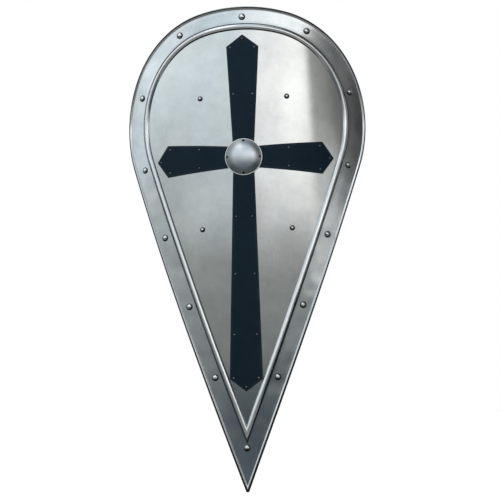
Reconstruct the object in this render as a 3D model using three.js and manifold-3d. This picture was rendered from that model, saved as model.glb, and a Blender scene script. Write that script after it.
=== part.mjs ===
// A steel kite shield: a bent sheet with a riveted rim strip over a wired edge, a leather cross
// held by small tacks, a domed boss, and two leather straps behind it, one of them with a buckle.
// Millimetres. +Z is up, the front looks along -Y, and the origin is the middle of the hand grip.
import * as THREE from "three";
import { mergeVertices } from "three/addons/utils/BufferGeometryUtils.js";
import Module from "manifold-3d";

// The kite, measured on the flat sheet before it is bent
const kiteHeight = 980;
const kiteWidth = 532;
const crownRise = 235;
const crownTurn = THREE.MathUtils.degToRad(13.3);
const flankRadius = 250;
const tipRadius = 4;

// The sheet: its front face is bent to this radius about an upright axis behind it
const bendRadius = 400;
const plateThickness = 1.2;
const fitGap = 0.35;

// The rim strip: a flat land with a bead along its inner border and a roll round a wire outside.
// Its land grows by the flare, from so far off the middle to where the kite is widest.
const rimWidth = 49;
const rimFlare = 6;
const rimFlareStart = 60;
const rimSheet = 1.2;
const rollDiameter = 7;
const beadWidth = 13;
const beadRise = 4.3;
const returnInset = 13;
const rimRivetShares = [0, 0.125, 0.27, 0.417, 0.558, 0.699, 0.838, 1];
const rimRivetInsets = [22, 22, 28, 27.5, 23.5, 24, 23.5, 33];
const rimRivet = { head: 7, dome: 4.2, shank: 2.6, tail: 4, tailHeight: 1.8, sides: 12, rings: 3 };

// The cross: its middle lies below the kite's widest line, and each arm ends short of the bead
const crossDrop = 78;
const crossThickness = 1.6;
const crossRoot = 43;
const crossFlare = 66;
const crossPoint = 25;
const crossGaps = { up: 10, side: 14, down: 0.6 };

// The tacks: pairs along each arm, given as shares of the arm's length, and one at its point
const tackInset = 8.3;
const tackTipInset = 9;
const tackShares = { up: [0.512, 0.894], side: [0.488, 0.838], down: [0.258, 0.504, 0.761, 0.943] };
const tack = { head: 2.1, dome: 1.2, shank: 0.9, tail: 1.6, tailHeight: 0.7, sides: 6, rings: 2 };

// The boss: a shallow dome that runs out into a very narrow flat lip
const bossRadius = 37.5;
const bossLip = 2.5;
const bossDome = 8;
const bossSheet = 1.2;
const bossRivetRadius = 32.5;
const bossRivet = { head: 2.6, dome: 1.5, shank: 1.4, tail: 2.4, tailHeight: 1, sides: 8, rings: 2 };

// The two straps, each on a pair of rivets through the plate, so far above the cross's middle
const strapRivet = { head: 5.5, dome: 3.4, shank: 2.3, tail: 4.6, tailHeight: 1.5, sides: 12, rings: 3 };
const grip = {
  rise: 125,
  offset: 0,
  width: 36,
  thickness: 3.5,
  rivetReach: 89,
  tab: 30,
  room: 42,
  bend: 12,
  corner: 35,
  halfTop: 12,
};
const armStrap = {
  rise: -145,
  offset: 5,
  width: 30,
  thickness: 3,
  rivetReach: 91,
  tab: 30,
  room: 80,
  bend: 14,
  corner: 25,
  tail: 30,
};

// The buckle on the arm strap
const buckleBar = 4;
const buckleReach = 28;
const buckleSide = 1;
const rollerWall = 0.9;
const prong = { thickness: 2.4, width: 3, ringWall: 2.2, overhang: 2.5 };
const prongHole = { centre: 8, length: 13, side: 0.6 };
const fold = { length: 18, lead: 2, settle: 12, radius: 8, slotSide: 0.6 };
const keeper = { length: 12, wall: 2.2 };

// How finely the round shapes are cut
const sheetStep = THREE.MathUtils.degToRad(3);
const strapStep = THREE.MathUtils.degToRad(15);
const crownSteps = 4;
const shoulderSteps = 11;
const flankSteps = 4;
const sideSteps = 12;
const tipSteps = 2;
const beadSteps = 5;
const rollSteps = 7;
const bossRings = 4;
const bossSides = 24;
const barSides = 12;
const cutOverrun = 5;
const weldDistance = 1e-4;

// What the sizes above give: sheet lifts are measured outwards from the plate's front face
const halfWidth = kiteWidth / 2;
const widestHeight = kiteHeight - crownRise;
const crossHeight = widestHeight - crossDrop;
const gripHeight = crossHeight + grip.rise;
const rimSeat = fitGap;
const rimTop = rimSeat + rimSheet;
const rollRadius = rollDiameter / 2;
const boreRadius = rollRadius - rimSheet;
const wireRadius = boreRadius - fitGap;
const plateBack = -plateThickness;
const returnFront = plateBack - fitGap;
const rollLift = returnFront - rimSheet + rollRadius;
const crossTop = fitGap + crossThickness;
const bossSeat = crossTop + fitGap;
const dishRadius = bossRadius - bossLip;
const capRadius = (dishRadius ** 2 + bossDome ** 2) / (2 * bossDome);
const barRadius = buckleBar / 2;
const rollerRadius = barRadius + fitGap + rollerWall;
const ringRadius = barRadius + fitGap + prong.ringWall;

const steel = new THREE.MeshStandardMaterial({ color: 0xb4b7b5, roughness: 0.34, metalness: 1 });
const rimSteel = new THREE.MeshStandardMaterial({ color: 0xa9adad, roughness: 0.3, metalness: 1 });
const brightSteel = new THREE.MeshStandardMaterial({ color: 0xc4c7c9, roughness: 0.2, metalness: 1 });
const darkSteel = new THREE.MeshStandardMaterial({ color: 0x3a3d40, roughness: 0.45, metalness: 1 });
const blackLeather = new THREE.MeshStandardMaterial({ color: 0x1e272f, roughness: 0.6, metalness: 0 });
const brownLeather = new THREE.MeshStandardMaterial({ color: 0x4a2f20, roughness: 0.65, metalness: 0 });

const wasm = await Module();
wasm.setup();

// A closed geometry as a solid that can be joined and cut.
function toSolid(geometry) {
  const bare = new THREE.BufferGeometry();
  bare.setAttribute("position", geometry.getAttribute("position"));
  bare.setIndex(geometry.index);
  const welded = mergeVertices(bare, weldDistance);
  const corners = welded.index.array;
  const triVerts = [];
  for (let i = 0; i < corners.length; i += 3) {
    const [a, b, c] = corners.subarray(i, i + 3);
    if (a !== b && b !== c && c !== a) triVerts.push(a, b, c);
  }
  const vertProperties = new Float32Array(welded.getAttribute("position").array);
  return new wasm.Manifold(
    new wasm.Mesh({ numProp: 3, vertProperties, triVerts: Uint32Array.from(triVerts) }),
  );
}

// A solid as a geometry that a mesh can show.
function toGeometry(solid) {
  const { vertProperties, triVerts } = solid.getMesh();
  const geometry = new THREE.BufferGeometry();
  geometry.setAttribute("position", new THREE.BufferAttribute(vertProperties, 3));
  geometry.setIndex(new THREE.BufferAttribute(triVerts, 1));
  return geometry;
}

function namedMesh(name, geometry, material) {
  const shaded = geometry.index ? geometry.toNonIndexed() : geometry;
  shaded.computeVertexNormals();
  const mesh = new THREE.Mesh(shaded, material);
  mesh.name = name;
  return mesh;
}

// The point of the bent sheet that lies at (across, height) on the flat one, lifted off its front.
function sheetPoint(across, height, lift) {
  const angle = across / bendRadius;
  const radius = bendRadius + lift;
  return new THREE.Vector3(
    radius * Math.sin(angle),
    bendRadius - radius * Math.cos(angle),
    height,
  );
}

// A group whose -Y looks straight out of the bent sheet at (across, height).
function placeOnSheet(across, height) {
  const place = new THREE.Group();
  place.position.copy(sheetPoint(across, height, 0));
  place.rotation.z = across / bendRadius;
  return place;
}

// Bends a flat geometry, drawn with X across the sheet and -Y outwards, onto the sheet.
function bendOntoSheet(geometry, across, height) {
  const position = geometry.getAttribute("position");
  for (let i = 0; i < position.count; i++) {
    const bent = sheetPoint(
      across + position.getX(i),
      height + position.getZ(i),
      -position.getY(i),
    );
    position.setXYZ(i, bent.x, bent.y, bent.z);
  }
  return geometry;
}

// The kite's outline moved inwards, as a closed loop of flat points from the top round by +X.
// Every inset gives the same number of points, so that loops can be joined into a skin.
function kiteLoop(inset) {
  const sine = Math.sin(crownTurn);
  const cosine = Math.cos(crownTurn);
  const mix = sine + cosine - 1;
  const crownRadius = (halfWidth * cosine - crownRise * (1 - sine)) / mix;
  const shoulderRadius = (crownRise * sine - halfWidth * (1 - cosine)) / mix;
  const toFlank = { across: halfWidth - flankRadius, up: widestHeight - tipRadius };
  const reach = Math.hypot(toFlank.across, toFlank.up);
  const taper = Math.atan2(toFlank.across, toFlank.up) + Math.asin((flankRadius - tipRadius) / reach);

  const half = [];
  const arc = (across, height, radius, from, to, steps) => {
    for (let i = 0; i < steps; i++) {
      const angle = from + ((to - from) * i) / steps;
      half.push([across + radius * Math.cos(angle), height + radius * Math.sin(angle)]);
    }
  };
  const quarter = Math.PI / 2;
  const join = quarter - crownTurn;
  arc(0, kiteHeight - crownRadius, crownRadius - inset, quarter, join, crownSteps);
  arc(halfWidth - shoulderRadius, widestHeight, shoulderRadius - inset, join, 0, shoulderSteps);
  arc(halfWidth - flankRadius, widestHeight, flankRadius - inset, 0, -taper, flankSteps);

  const sideTop = [
    halfWidth - flankRadius + (flankRadius - inset) * Math.cos(taper),
    widestHeight - (flankRadius - inset) * Math.sin(taper),
  ];
  const tipReach = Math.max(tipRadius - inset, 0);
  const mitre = Math.max(inset - tipRadius, 0) / Math.sin(taper);
  const sideEnd = [
    tipReach * Math.cos(taper),
    tipRadius + mitre - tipReach * Math.sin(taper),
  ];
  for (let i = 0; i < sideSteps; i++) {
    const share = i / sideSteps;
    half.push([
      THREE.MathUtils.lerp(sideTop[0], sideEnd[0], share),
      THREE.MathUtils.lerp(sideTop[1], sideEnd[1], share),
    ]);
  }
  arc(0, tipRadius + mitre, tipReach, -taper, -quarter, tipSteps);
  half.push([0, tipRadius + mitre - tipReach]);
  half[0][0] = 0;

  const mirrored = half.slice(1, -1).reverse();
  return half.concat(mirrored.map(([across, height]) => [-across, height]));
}

// How far a point of the strip lies further in where the kite is wide: the land grows and the bead
// moves with it, while the roll and its return stay.
function flareAt(across, inset) {
  const wide = Math.abs(across) - rimFlareStart;
  const side = Math.max(0, wide) / (halfWidth - rimWidth - rimFlareStart);
  const share = (inset - returnInset) / (rimWidth - beadWidth - returnInset);
  return rimFlare * side * THREE.MathUtils.clamp(share, 0, 1);
}

// A closed skin round the kite: each {inset, lift} of the section becomes a loop on the bent sheet.
// Of a quad's two diagonals, the one that crosses less of the sheet's bend is used.
function skinRoundKite(section) {
  const loops = section.map(({ inset }) => kiteLoop(inset).map(([across, height]) => {
    return [across - Math.sign(across) * flareAt(across, inset), height];
  }));
  const count = loops[0].length;
  const positions = [];
  loops.forEach((loop, row) => {
    for (const [across, height] of loop) {
      positions.push(...sheetPoint(across, height, section[row].lift).toArray());
    }
  });
  const faces = [];
  for (let row = 0; row < loops.length; row++) {
    const next = (row + 1) % loops.length;
    for (let i = 0; i < count; i++) {
      const j = (i + 1) % count;
      const a = row * count + i;
      const b = row * count + j;
      const c = next * count + j;
      const d = next * count + i;
      const spanAC = Math.abs(loops[row][i][0] - loops[next][j][0]);
      const spanBD = Math.abs(loops[row][j][0] - loops[next][i][0]);
      if (spanAC < spanBD) faces.push(a, b, c, a, c, d);
      else faces.push(a, b, d, b, c, d);
    }
  }
  const geometry = new THREE.BufferGeometry();
  geometry.setAttribute("position", new THREE.Float32BufferAttribute(positions, 3));
  geometry.setIndex(faces);
  return toGeometry(toSolid(geometry));
}

// A bent layer between two lifts, cut to a flat outline.
function bentLayer(outline, lowLift, highLift) {
  const low = bendRadius + lowLift;
  const high = bendRadius + highLift;
  const end = kiteHeight + cutOverrun;
  const wall = [
    new THREE.Vector2(low, -cutOverrun),
    new THREE.Vector2(high, -cutOverrun),
    new THREE.Vector2(high, end),
    new THREE.Vector2(low, end),
    new THREE.Vector2(low, -cutOverrun),
  ];
  const ring = new THREE.LatheGeometry(wall, Math.round((2 * Math.PI) / sheetStep));
  ring.rotateX(Math.PI / 2);
  ring.translate(0, bendRadius, 0);

  const shape = new THREE.Shape(
    outline.map(([across, height]) => new THREE.Vector2(high * Math.sin(across / bendRadius), height)),
  );
  const depth = bendRadius;
  const stamp = new THREE.ExtrudeGeometry(shape, { depth, bevelEnabled: false });
  stamp.rotateX(Math.PI / 2);
  stamp.translate(0, depth - cutOverrun, 0);
  return toSolid(ring).intersect(toSolid(stamp));
}

// Drills straight through the sheet, and what lies on it, at each place.
function drill(solid, places, radius, sides) {
  const length = 2 * (plateThickness + crossThickness + armStrap.thickness + grip.thickness);
  let drilled = solid;
  for (const { across, height } of places) {
    const bit = new THREE.CylinderGeometry(radius + fitGap, radius + fitGap, length, sides);
    bit.rotateZ(across / bendRadius);
    bit.translate(...sheetPoint(across, height, 0).toArray());
    drilled = drilled.subtract(toSolid(bit));
  }
  return drilled;
}

// A round-headed rivet along Y: the head in front of frontLift, the clenched tail behind backLift.
function rivetGeometry(rivet, frontLift, backLift) {
  const seat = frontLift + fitGap;
  const tail = backLift - fitGap;
  const sphereRadius = (rivet.head ** 2 + rivet.dome ** 2) / (2 * rivet.dome);
  const spread = Math.asin(rivet.head / sphereRadius);
  const profile = [new THREE.Vector2(0, -seat - rivet.dome)];
  for (let i = 1; i <= rivet.rings; i++) {
    const angle = (spread * i) / rivet.rings;
    const drop = sphereRadius * (1 - Math.cos(angle));
    profile.push(new THREE.Vector2(sphereRadius * Math.sin(angle), drop - seat - rivet.dome));
  }
  profile.push(
    new THREE.Vector2(rivet.shank, -seat),
    new THREE.Vector2(rivet.shank, -tail),
    new THREE.Vector2(rivet.tail, -tail),
    new THREE.Vector2(rivet.tail / 2, rivet.tailHeight - tail),
    new THREE.Vector2(0, rivet.tailHeight - tail),
  );
  return new THREE.LatheGeometry(profile, rivet.sides);
}

function rivetAt(name, rivet, place, frontLift, backLift, material) {
  const group = placeOnSheet(place.across, place.height);
  group.add(namedMesh(name, rivetGeometry(rivet, frontLift, backLift), material));
  return group;
}

// Half of a loop, from the crown to the tip, as a curve that gives points by shares of its length.
function halfCurve(inset) {
  const loop = kiteLoop(inset);
  const half = loop.slice(0, loop.length / 2 + 1);
  const curve = new THREE.CurvePath();
  for (let i = 1; i < half.length; i++) {
    const start = new THREE.Vector2(...half[i - 1]);
    const end = new THREE.Vector2(...half[i]);
    if (start.distanceTo(end) > weldDistance) curve.add(new THREE.LineCurve(start, end));
  }
  return curve;
}

// Where the rim rivets stand: shares of the way down a loop inside the outline, on both sides.
function rimRivetPlaces() {
  const places = [];
  rimRivetShares.forEach((share, i) => {
    const { x, y } = halfCurve(rimRivetInsets[i]).getPoint(share);
    places.push({ across: x, height: y });
    if (share > 0 && share < 1) places.push({ across: -x, height: y });
  });
  return places;
}

// Where a loop inside the outline meets a line on its right-hand side, seen along one axis of the
// flat sheet (0 across, 1 up), going up from the tip.
function rightEdge(inset, axis, value) {
  const loop = kiteLoop(inset);
  const half = loop.slice(0, loop.length / 2 + 1).reverse();
  const i = half.findIndex((point) => point[axis] > value);
  const share = (value - half[i - 1][axis]) / (half[i][axis] - half[i - 1][axis]);
  return THREE.MathUtils.lerp(half[i - 1][1 - axis], half[i][1 - axis], share);
}

// The four arms of the cross, each with its length: the lower one's shoulders reach the bead.
const upLength = kiteHeight - rimWidth - crossGaps.up - crossHeight;
const sideLength = rightEdge(rimWidth, 1, crossHeight) - crossGaps.side;
const lowShoulder = rightEdge(rimWidth, 0, crossFlare / 2 + crossGaps.down);
const downLength = crossHeight - lowShoulder + crossPoint;
const arms = [
  { along: [0, 1], length: upLength, shares: tackShares.up },
  { along: [1, 0], length: sideLength, shares: tackShares.side },
  { along: [0, -1], length: downLength, shares: tackShares.down },
  { along: [-1, 0], length: sideLength, shares: tackShares.side },
];

// A flat point given along an arm and to its right.
function armPoint(arm, along, aside) {
  const [x, y] = arm.along;
  return [along * x + aside * y, crossHeight + along * y - aside * x];
}

function crossOutline() {
  const outline = [];
  for (const arm of arms) {
    const shoulder = arm.length - crossPoint;
    outline.push(
      armPoint(arm, crossRoot / 2, -crossRoot / 2),
      armPoint(arm, shoulder, -crossFlare / 2),
      armPoint(arm, arm.length, 0),
      armPoint(arm, shoulder, crossFlare / 2),
    );
  }
  return outline;
}

function tackPlaces() {
  const places = [];
  for (const arm of arms) {
    const root = crossRoot / 2;
    const shoulder = arm.length - crossPoint;
    for (const share of arm.shares) {
      const along = share * arm.length;
      const flare = (along - root) / (shoulder - root);
      const aside = THREE.MathUtils.lerp(root, crossFlare / 2, flare) - tackInset;
      for (const side of [-aside, aside]) places.push(armPoint(arm, along, side));
    }
    places.push(armPoint(arm, arm.length - tackTipInset, 0));
  }
  return places.map(([across, height]) => ({ across, height }));
}

function bossRivetPlaces() {
  return arms.map((arm) => {
    const [across, height] = armPoint(arm, bossRivetRadius, 0);
    return { across, height };
  });
}

function strapRivetPlaces(strap) {
  return [-strap.rivetReach, strap.rivetReach].map((reach) => ({
    across: strap.offset + reach,
    height: crossHeight + strap.rise,
  }));
}

function shieldPlate() {
  const blank = bentLayer(kiteLoop(rollDiameter), plateBack, 0);
  let plate = drill(blank, rimRivetPlaces(), rimRivet.shank, rimRivet.sides);
  plate = drill(plate, bossRivetPlaces(), bossRivet.shank, bossRivet.sides);
  plate = drill(plate, tackPlaces(), tack.shank, tack.sides);
  for (const strap of [grip, armStrap]) {
    plate = drill(plate, strapRivetPlaces(strap), strapRivet.shank, strapRivet.sides);
  }
  return toGeometry(plate);
}

// The rim strip's section: bead, land, the roll from front to back, the return, and back inside.
// One more loop beside the rivets lets the wide land follow the sheet's bend.
function rimBand() {
  const section = [];
  const arc = (inset, lift, radius, from, to, steps) => {
    for (let i = 0; i <= steps; i++) {
      const angle = from + ((to - from) * i) / steps;
      section.push({
        inset: inset + radius * Math.cos(angle),
        lift: lift + radius * Math.sin(angle),
      });
    }
  };
  const beadCurve = (beadWidth ** 2 / 4 + beadRise ** 2) / (2 * beadRise);
  const beadLift = rimSeat + beadRise - beadCurve;
  const beadStart = Math.acos(beadWidth / 2 / beadCurve);
  const beadEnd = Math.PI - Math.asin((rimTop - beadLift) / beadCurve);
  const rollStart = Math.asin((rimTop - rollLift) / rollRadius);
  const boreEnd = Math.asin((rimSeat - rollLift) / boreRadius);
  const behind = (3 * Math.PI) / 2;
  const landFold = rimRivetInsets[0] + rimRivet.head;
  arc(rimWidth - beadWidth / 2, beadLift, beadCurve, beadStart, beadEnd, beadSteps);
  section.push({ inset: landFold, lift: rimTop });
  arc(rollRadius, rollLift, rollRadius, rollStart, behind, rollSteps);
  section.push({ inset: returnInset, lift: returnFront - rimSheet });
  section.push({ inset: returnInset, lift: returnFront });
  arc(rollRadius, rollLift, boreRadius, behind, boreEnd, rollSteps);
  section.push({ inset: landFold, lift: rimSeat });
  const band = drill(
    toSolid(skinRoundKite(section)),
    rimRivetPlaces(),
    rimRivet.shank,
    rimRivet.sides,
  );
  return toGeometry(band);
}

// The wire inside the roll, with its flats facing those of the roll's bore.
function edgeWire() {
  const boreEnd = Math.asin((rimSeat - rollLift) / boreRadius);
  const behind = (3 * Math.PI) / 2;
  const step = (behind - boreEnd) / rollSteps;
  const sides = Math.round((2 * Math.PI) / step);
  const section = [];
  for (let i = 0; i < sides; i++) {
    const angle = behind - (2 * Math.PI * i) / sides;
    section.push({
      inset: rollRadius + wireRadius * Math.cos(angle),
      lift: rollLift + wireRadius * Math.sin(angle),
    });
  }
  return skinRoundKite(section.reverse());
}

function crossPiece() {
  let cross = bentLayer(crossOutline(), fitGap, crossTop);
  cross = drill(cross, bossRivetPlaces(), bossRivet.shank, bossRivet.sides);
  cross = drill(cross, tackPlaces(), tack.shank, tack.sides);
  return toGeometry(cross);
}

// How far the dome stands above its lip at a distance from its middle.
function domeRise(distance) {
  return bossDome - capRadius + Math.sqrt(capRadius ** 2 - distance ** 2);
}

// The boss is turned flat and then bent, so that its lip follows the cross under it.
function bossDish() {
  const spread = Math.asin(dishRadius / capRadius);
  const outer = [];
  const inner = [];
  for (let i = 0; i <= bossRings; i++) {
    const angle = (spread * i) / bossRings;
    const radius = capRadius * Math.sin(angle);
    const rise = domeRise(radius);
    outer.push(new THREE.Vector2(radius, -bossSeat - bossSheet - rise));
    inner.push(new THREE.Vector2(radius, -bossSeat - rise));
  }
  const rimEdge = [
    new THREE.Vector2(bossRadius, -bossSeat - bossSheet),
    new THREE.Vector2(bossRadius, -bossSeat),
  ];
  const profile = outer.concat(rimEdge, inner.reverse());
  const dish = bendOntoSheet(new THREE.LatheGeometry(profile, bossSides), 0, crossHeight);
  const drilled = drill(toSolid(dish), bossRivetPlaces(), bossRivet.shank, bossRivet.sides);
  return toGeometry(drilled);
}

// A strap's centre line is a list of stations, each with its heading, laid by straights and turns.
function goStraight(path, length) {
  const { x, y, heading } = path.at(-1);
  path.push({
    x: x + length * Math.cos(heading),
    y: y + length * Math.sin(heading),
    heading,
  });
}

// A turn to the left is positive.
function turn(path, radius, angle) {
  const { x, y, heading } = path.at(-1);
  const side = Math.sign(angle);
  const centre = turnCentre({ x, y, heading }, radius, side);
  const steps = Math.max(1, Math.ceil(Math.abs(angle) / strapStep));
  for (let i = 1; i <= steps; i++) {
    const now = heading + (angle * i) / steps;
    path.push({
      x: centre.x + side * radius * Math.sin(now),
      y: centre.y - side * radius * Math.cos(now),
      heading: now,
    });
  }
}

function turnCentre({ x, y, heading }, radius, side) {
  return {
    x: x - side * radius * Math.sin(heading),
    y: y + side * radius * Math.cos(heading),
  };
}

function wrapAngle(angle) {
  return Math.atan2(Math.sin(angle), Math.cos(angle));
}

// One turn, a straight, and the opposite turn about a given centre, to a given heading.
// It returns the straight's place in the path.
function crossOver(path, firstRadius, side, centre, secondRadius, heading) {
  const start = turnCentre(path.at(-1), firstRadius, side);
  const across = centre.x - start.x;
  const away = centre.y - start.y;
  const reach = Math.hypot(across, away);
  const radii = firstRadius + secondRadius;
  const leg = Math.atan2(away, across) + side * Math.asin(radii / reach);
  turn(path, firstRadius, wrapAngle(leg - path.at(-1).heading));
  const legStart = path.length - 1;
  goStraight(path, Math.sqrt(reach ** 2 - radii ** 2));
  turn(path, secondRadius, wrapAngle(heading - path.at(-1).heading));
  return legStart;
}

// The right-hand side of a strap, from its end on the plate up to the flat of its top.
function strapSide(strap, topLevel, halfTop) {
  const radius = bendRadius - plateThickness - fitGap - strap.thickness / 2;
  const outer = (strap.rivetReach + strap.tab / 2) / bendRadius;
  const inner = (strap.rivetReach - strap.tab / 2) / bendRadius;
  const path = [
    {
      x: radius * Math.sin(outer),
      y: bendRadius - radius * Math.cos(outer),
      heading: Math.PI + outer,
    },
  ];
  turn(path, radius, inner - outer);
  const centre = { x: halfTop, y: topLevel - strap.corner };
  const legStart = crossOver(path, strap.bend, -1, centre, strap.corner, Math.PI);
  return { path, legStart };
}

function mirrorPath(path) {
  return path.map(({ x, y, heading }) => ({ x: -x, y, heading: Math.PI - heading }));
}

function reversePath(path) {
  return path.map(({ x, y, heading }) => ({ x, y, heading: heading + Math.PI })).reverse();
}

// A strap of one thickness along a path, its width along Z about zero.
function strapSolid(path, thickness, width) {
  const offset = (side) =>
    path.map(
      ({ x, y, heading }) =>
        new THREE.Vector2(
          x - (side * thickness * Math.sin(heading)) / 2,
          y + (side * thickness * Math.cos(heading)) / 2,
        ),
    );
  const shape = new THREE.Shape(offset(1).concat(offset(-1).reverse()));
  return extrudedSolid(shape, width);
}

function extrudedSolid(shape, width) {
  const geometry = new THREE.ExtrudeGeometry(shape, { depth: width, bevelEnabled: false });
  geometry.translate(0, 0, -width / 2);
  return toSolid(geometry);
}

// A round bar along Z.
function barSolid(centre, radius, length) {
  const bar = new THREE.CylinderGeometry(radius, radius, length, barSides);
  bar.rotateX(Math.PI / 2);
  bar.translate(centre.x, centre.y, 0);
  return toSolid(bar);
}

function boxSolid(low, high, width) {
  const box = new THREE.BoxGeometry(high.x - low.x, high.y - low.y, width);
  box.translate((low.x + high.x) / 2, (low.y + high.y) / 2, 0);
  return toSolid(box);
}

function drillStrap(solid, strap, reaches) {
  const places = reaches.map((reach) => ({ across: reach, height: 0 }));
  return drill(solid, places, strapRivet.shank, strapRivet.sides);
}

const gripTop = plateThickness + grip.room + grip.thickness / 2;

function handGrip() {
  const { path } = strapSide(grip, gripTop, grip.halfTop);
  const whole = path.concat(reversePath(mirrorPath(path)));
  const strap = strapSolid(whole, grip.thickness, grip.width);
  return toGeometry(drillStrap(strap, grip, [-grip.rivetReach, grip.rivetReach]));
}

// The buckle's levels: the long half runs under the roller, over the heel bar and down onto the
// short half, whose end is folded round the heel bar.
const leather = armStrap.thickness;
const longTop = plateThickness + armStrap.room + leather / 2;
const buckleLevel = longTop + leather / 2 + fitGap + rollerRadius;
const shortTop = buckleLevel + leather / 2;
const eyeRadius = barRadius + fitGap + leather;
const overLevel = buckleLevel + eyeRadius + fitGap + leather / 2;
const restLevel = shortTop + leather + fitGap;
const heel = { x: -buckleReach / 2, y: buckleLevel };
const front = { x: buckleReach / 2, y: buckleLevel };
const leftCorner = buckleReach / 2 + fold.length + fold.lead;
const leftSide = strapSide(armStrap, shortTop, leftCorner);
const leftPath = mirrorPath(leftSide.path);
const leftLeg = { start: leftPath[leftSide.legStart], end: leftPath[leftSide.legStart + 1] };
const slotHalf = prong.width / 2 + fold.slotSide;

// The short half: from its rivet to the heel bar, doubled back under itself at the fold.
function shortHalf() {
  const path = [...leftPath];
  goStraight(path, leftCorner + heel.x);
  const foldLow = { x: heel.x - fold.length, y: buckleLevel - leather };
  const foldHigh = { x: heel.x, y: shortTop };
  const slotReach = ringRadius + fold.slotSide;
  const slotLow = { x: heel.x - slotReach, y: buckleLevel - cutOverrun - eyeRadius };
  const slotHigh = { x: heel.x + cutOverrun + eyeRadius, y: buckleLevel + cutOverrun + eyeRadius };
  const folded = strapSolid(path, leather, armStrap.width)
    .add(boxSolid(foldLow, foldHigh, armStrap.width))
    .add(barSolid(heel, eyeRadius, armStrap.width))
    .subtract(barSolid(heel, barRadius + fitGap, armStrap.width + cutOverrun))
    .subtract(boxSolid(slotLow, slotHigh, 2 * slotHalf));
  return toGeometry(drillStrap(folded, armStrap, [-armStrap.rivetReach]));
}

// The long half: from its rivet under the roller, through the buckle and down over the short half.
function longHalf() {
  const { path } = strapSide(armStrap, longTop, front.x + fold.lead);
  goStraight(path, path.at(-1).x - front.x + fold.lead);
  const over = { x: heel.x, y: overLevel - fold.radius };
  crossOver(path, fold.radius, -1, over, fold.radius, Math.PI);
  const rest = { x: heel.x - fold.settle, y: restLevel + fold.radius };
  crossOver(path, fold.radius, 1, rest, fold.radius, Math.PI);
  goStraight(path, path.at(-1).x + leftCorner);
  turn(path, armStrap.corner + leather + fitGap, wrapAngle(leftLeg.start.heading));
  goStraight(path, armStrap.tail);
  const hole = { x: heel.x + prongHole.centre, y: buckleLevel };
  const holeLow = { x: hole.x - prongHole.length / 2, y: buckleLevel - eyeRadius };
  const holeHigh = { x: hole.x + prongHole.length / 2, y: overLevel + leather };
  const strap = strapSolid(path, leather, armStrap.width).subtract(
    boxSolid(holeLow, holeHigh, prong.width + 2 * prongHole.side),
  );
  return toGeometry(drillStrap(strap, armStrap, [armStrap.rivetReach]));
}

function buckleFrame() {
  const inside = armStrap.width + 2 * buckleSide;
  const bars = barSolid(heel, barRadius, inside + buckleBar).add(
    barSolid(front, barRadius, inside + buckleBar),
  );
  const low = { x: heel.x - barRadius, y: heel.y - barRadius };
  const high = { x: front.x + barRadius, y: front.y + barRadius };
  const sides = boxSolid(low, high, inside + 2 * buckleBar).subtract(
    boxSolid(
      { x: low.x - cutOverrun, y: low.y - cutOverrun },
      { x: high.x + cutOverrun, y: high.y + cutOverrun },
      inside,
    ),
  );
  return toGeometry(bars.add(sides));
}

function buckleRoller() {
  const half = armStrap.width / 2 + buckleSide - fitGap;
  const bore = barRadius + fitGap;
  const wall = [
    new THREE.Vector2(bore, -half),
    new THREE.Vector2(rollerRadius, -half),
    new THREE.Vector2(rollerRadius, half),
    new THREE.Vector2(bore, half),
    new THREE.Vector2(bore, -half),
  ];
  return new THREE.LatheGeometry(wall, barSides);
}

// The prong: a ring on the heel bar and a tongue whose end rests on the roller.
function buckleProng() {
  const rest = rollerRadius + fitGap;
  const end = buckleReach + prong.overhang;
  const tongue = new THREE.Shape([
    new THREE.Vector2(0, ringRadius - prong.thickness),
    new THREE.Vector2(buckleReach, rest),
    new THREE.Vector2(end, rest),
    new THREE.Vector2(end, rest + prong.thickness / 2),
    new THREE.Vector2(buckleReach, rest + prong.thickness),
    new THREE.Vector2(0, ringRadius),
  ]);
  const hub = { x: 0, y: 0 };
  const solid = extrudedSolid(tongue, prong.width)
    .add(barSolid(hub, ringRadius, prong.width))
    .subtract(barSolid(hub, barRadius + fitGap, prong.width + cutOverrun));
  return toGeometry(solid);
}

// The keeper: a band round both layers of the strap, lying along X.
function strapKeeper() {
  const room = 2 * leather + 3 * fitGap;
  const rectangle = (Type, thickness, width) =>
    new Type([
      new THREE.Vector2(-thickness / 2, -width / 2),
      new THREE.Vector2(thickness / 2, -width / 2),
      new THREE.Vector2(thickness / 2, width / 2),
      new THREE.Vector2(-thickness / 2, width / 2),
    ]);
  const inside = armStrap.width + 2 * fitGap;
  const shape = rectangle(THREE.Shape, room + 2 * keeper.wall, inside + 2 * keeper.wall);
  shape.holes.push(rectangle(THREE.Path, room, inside));
  const band = new THREE.ExtrudeGeometry(shape, { depth: keeper.length, bevelEnabled: false });
  band.translate(0, 0, -keeper.length / 2);
  band.rotateX(Math.PI / 2);
  band.rotateZ(Math.PI / 2);
  return band;
}

// The keeper's place: the middle of the left leg, between the strap's two layers.
function keeperPlace() {
  const { start, end } = leftLeg;
  const outwards = (leather + fitGap) / 2;
  const place = new THREE.Group();
  place.position.set(
    (start.x + end.x) / 2 - outwards * Math.sin(start.heading),
    (start.y + end.y) / 2 + outwards * Math.cos(start.heading),
    0,
  );
  place.rotation.z = start.heading;
  return place;
}

const shield = new THREE.Group();
shield.position.set(0, -gripTop, -gripHeight);

shield.add(
  namedMesh("shield_plate", shieldPlate(), steel),
  namedMesh("rim_band", rimBand(), rimSteel),
  namedMesh("edge_wire", edgeWire(), darkSteel),
  namedMesh("cross", crossPiece(), blackLeather),
  namedMesh("boss", bossDish(), brightSteel),
);

rimRivetPlaces().forEach((place, i) => {
  const name = `rim_rivet_${i + 1}`;
  shield.add(rivetAt(name, rimRivet, place, rimTop, plateBack, brightSteel));
});

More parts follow.
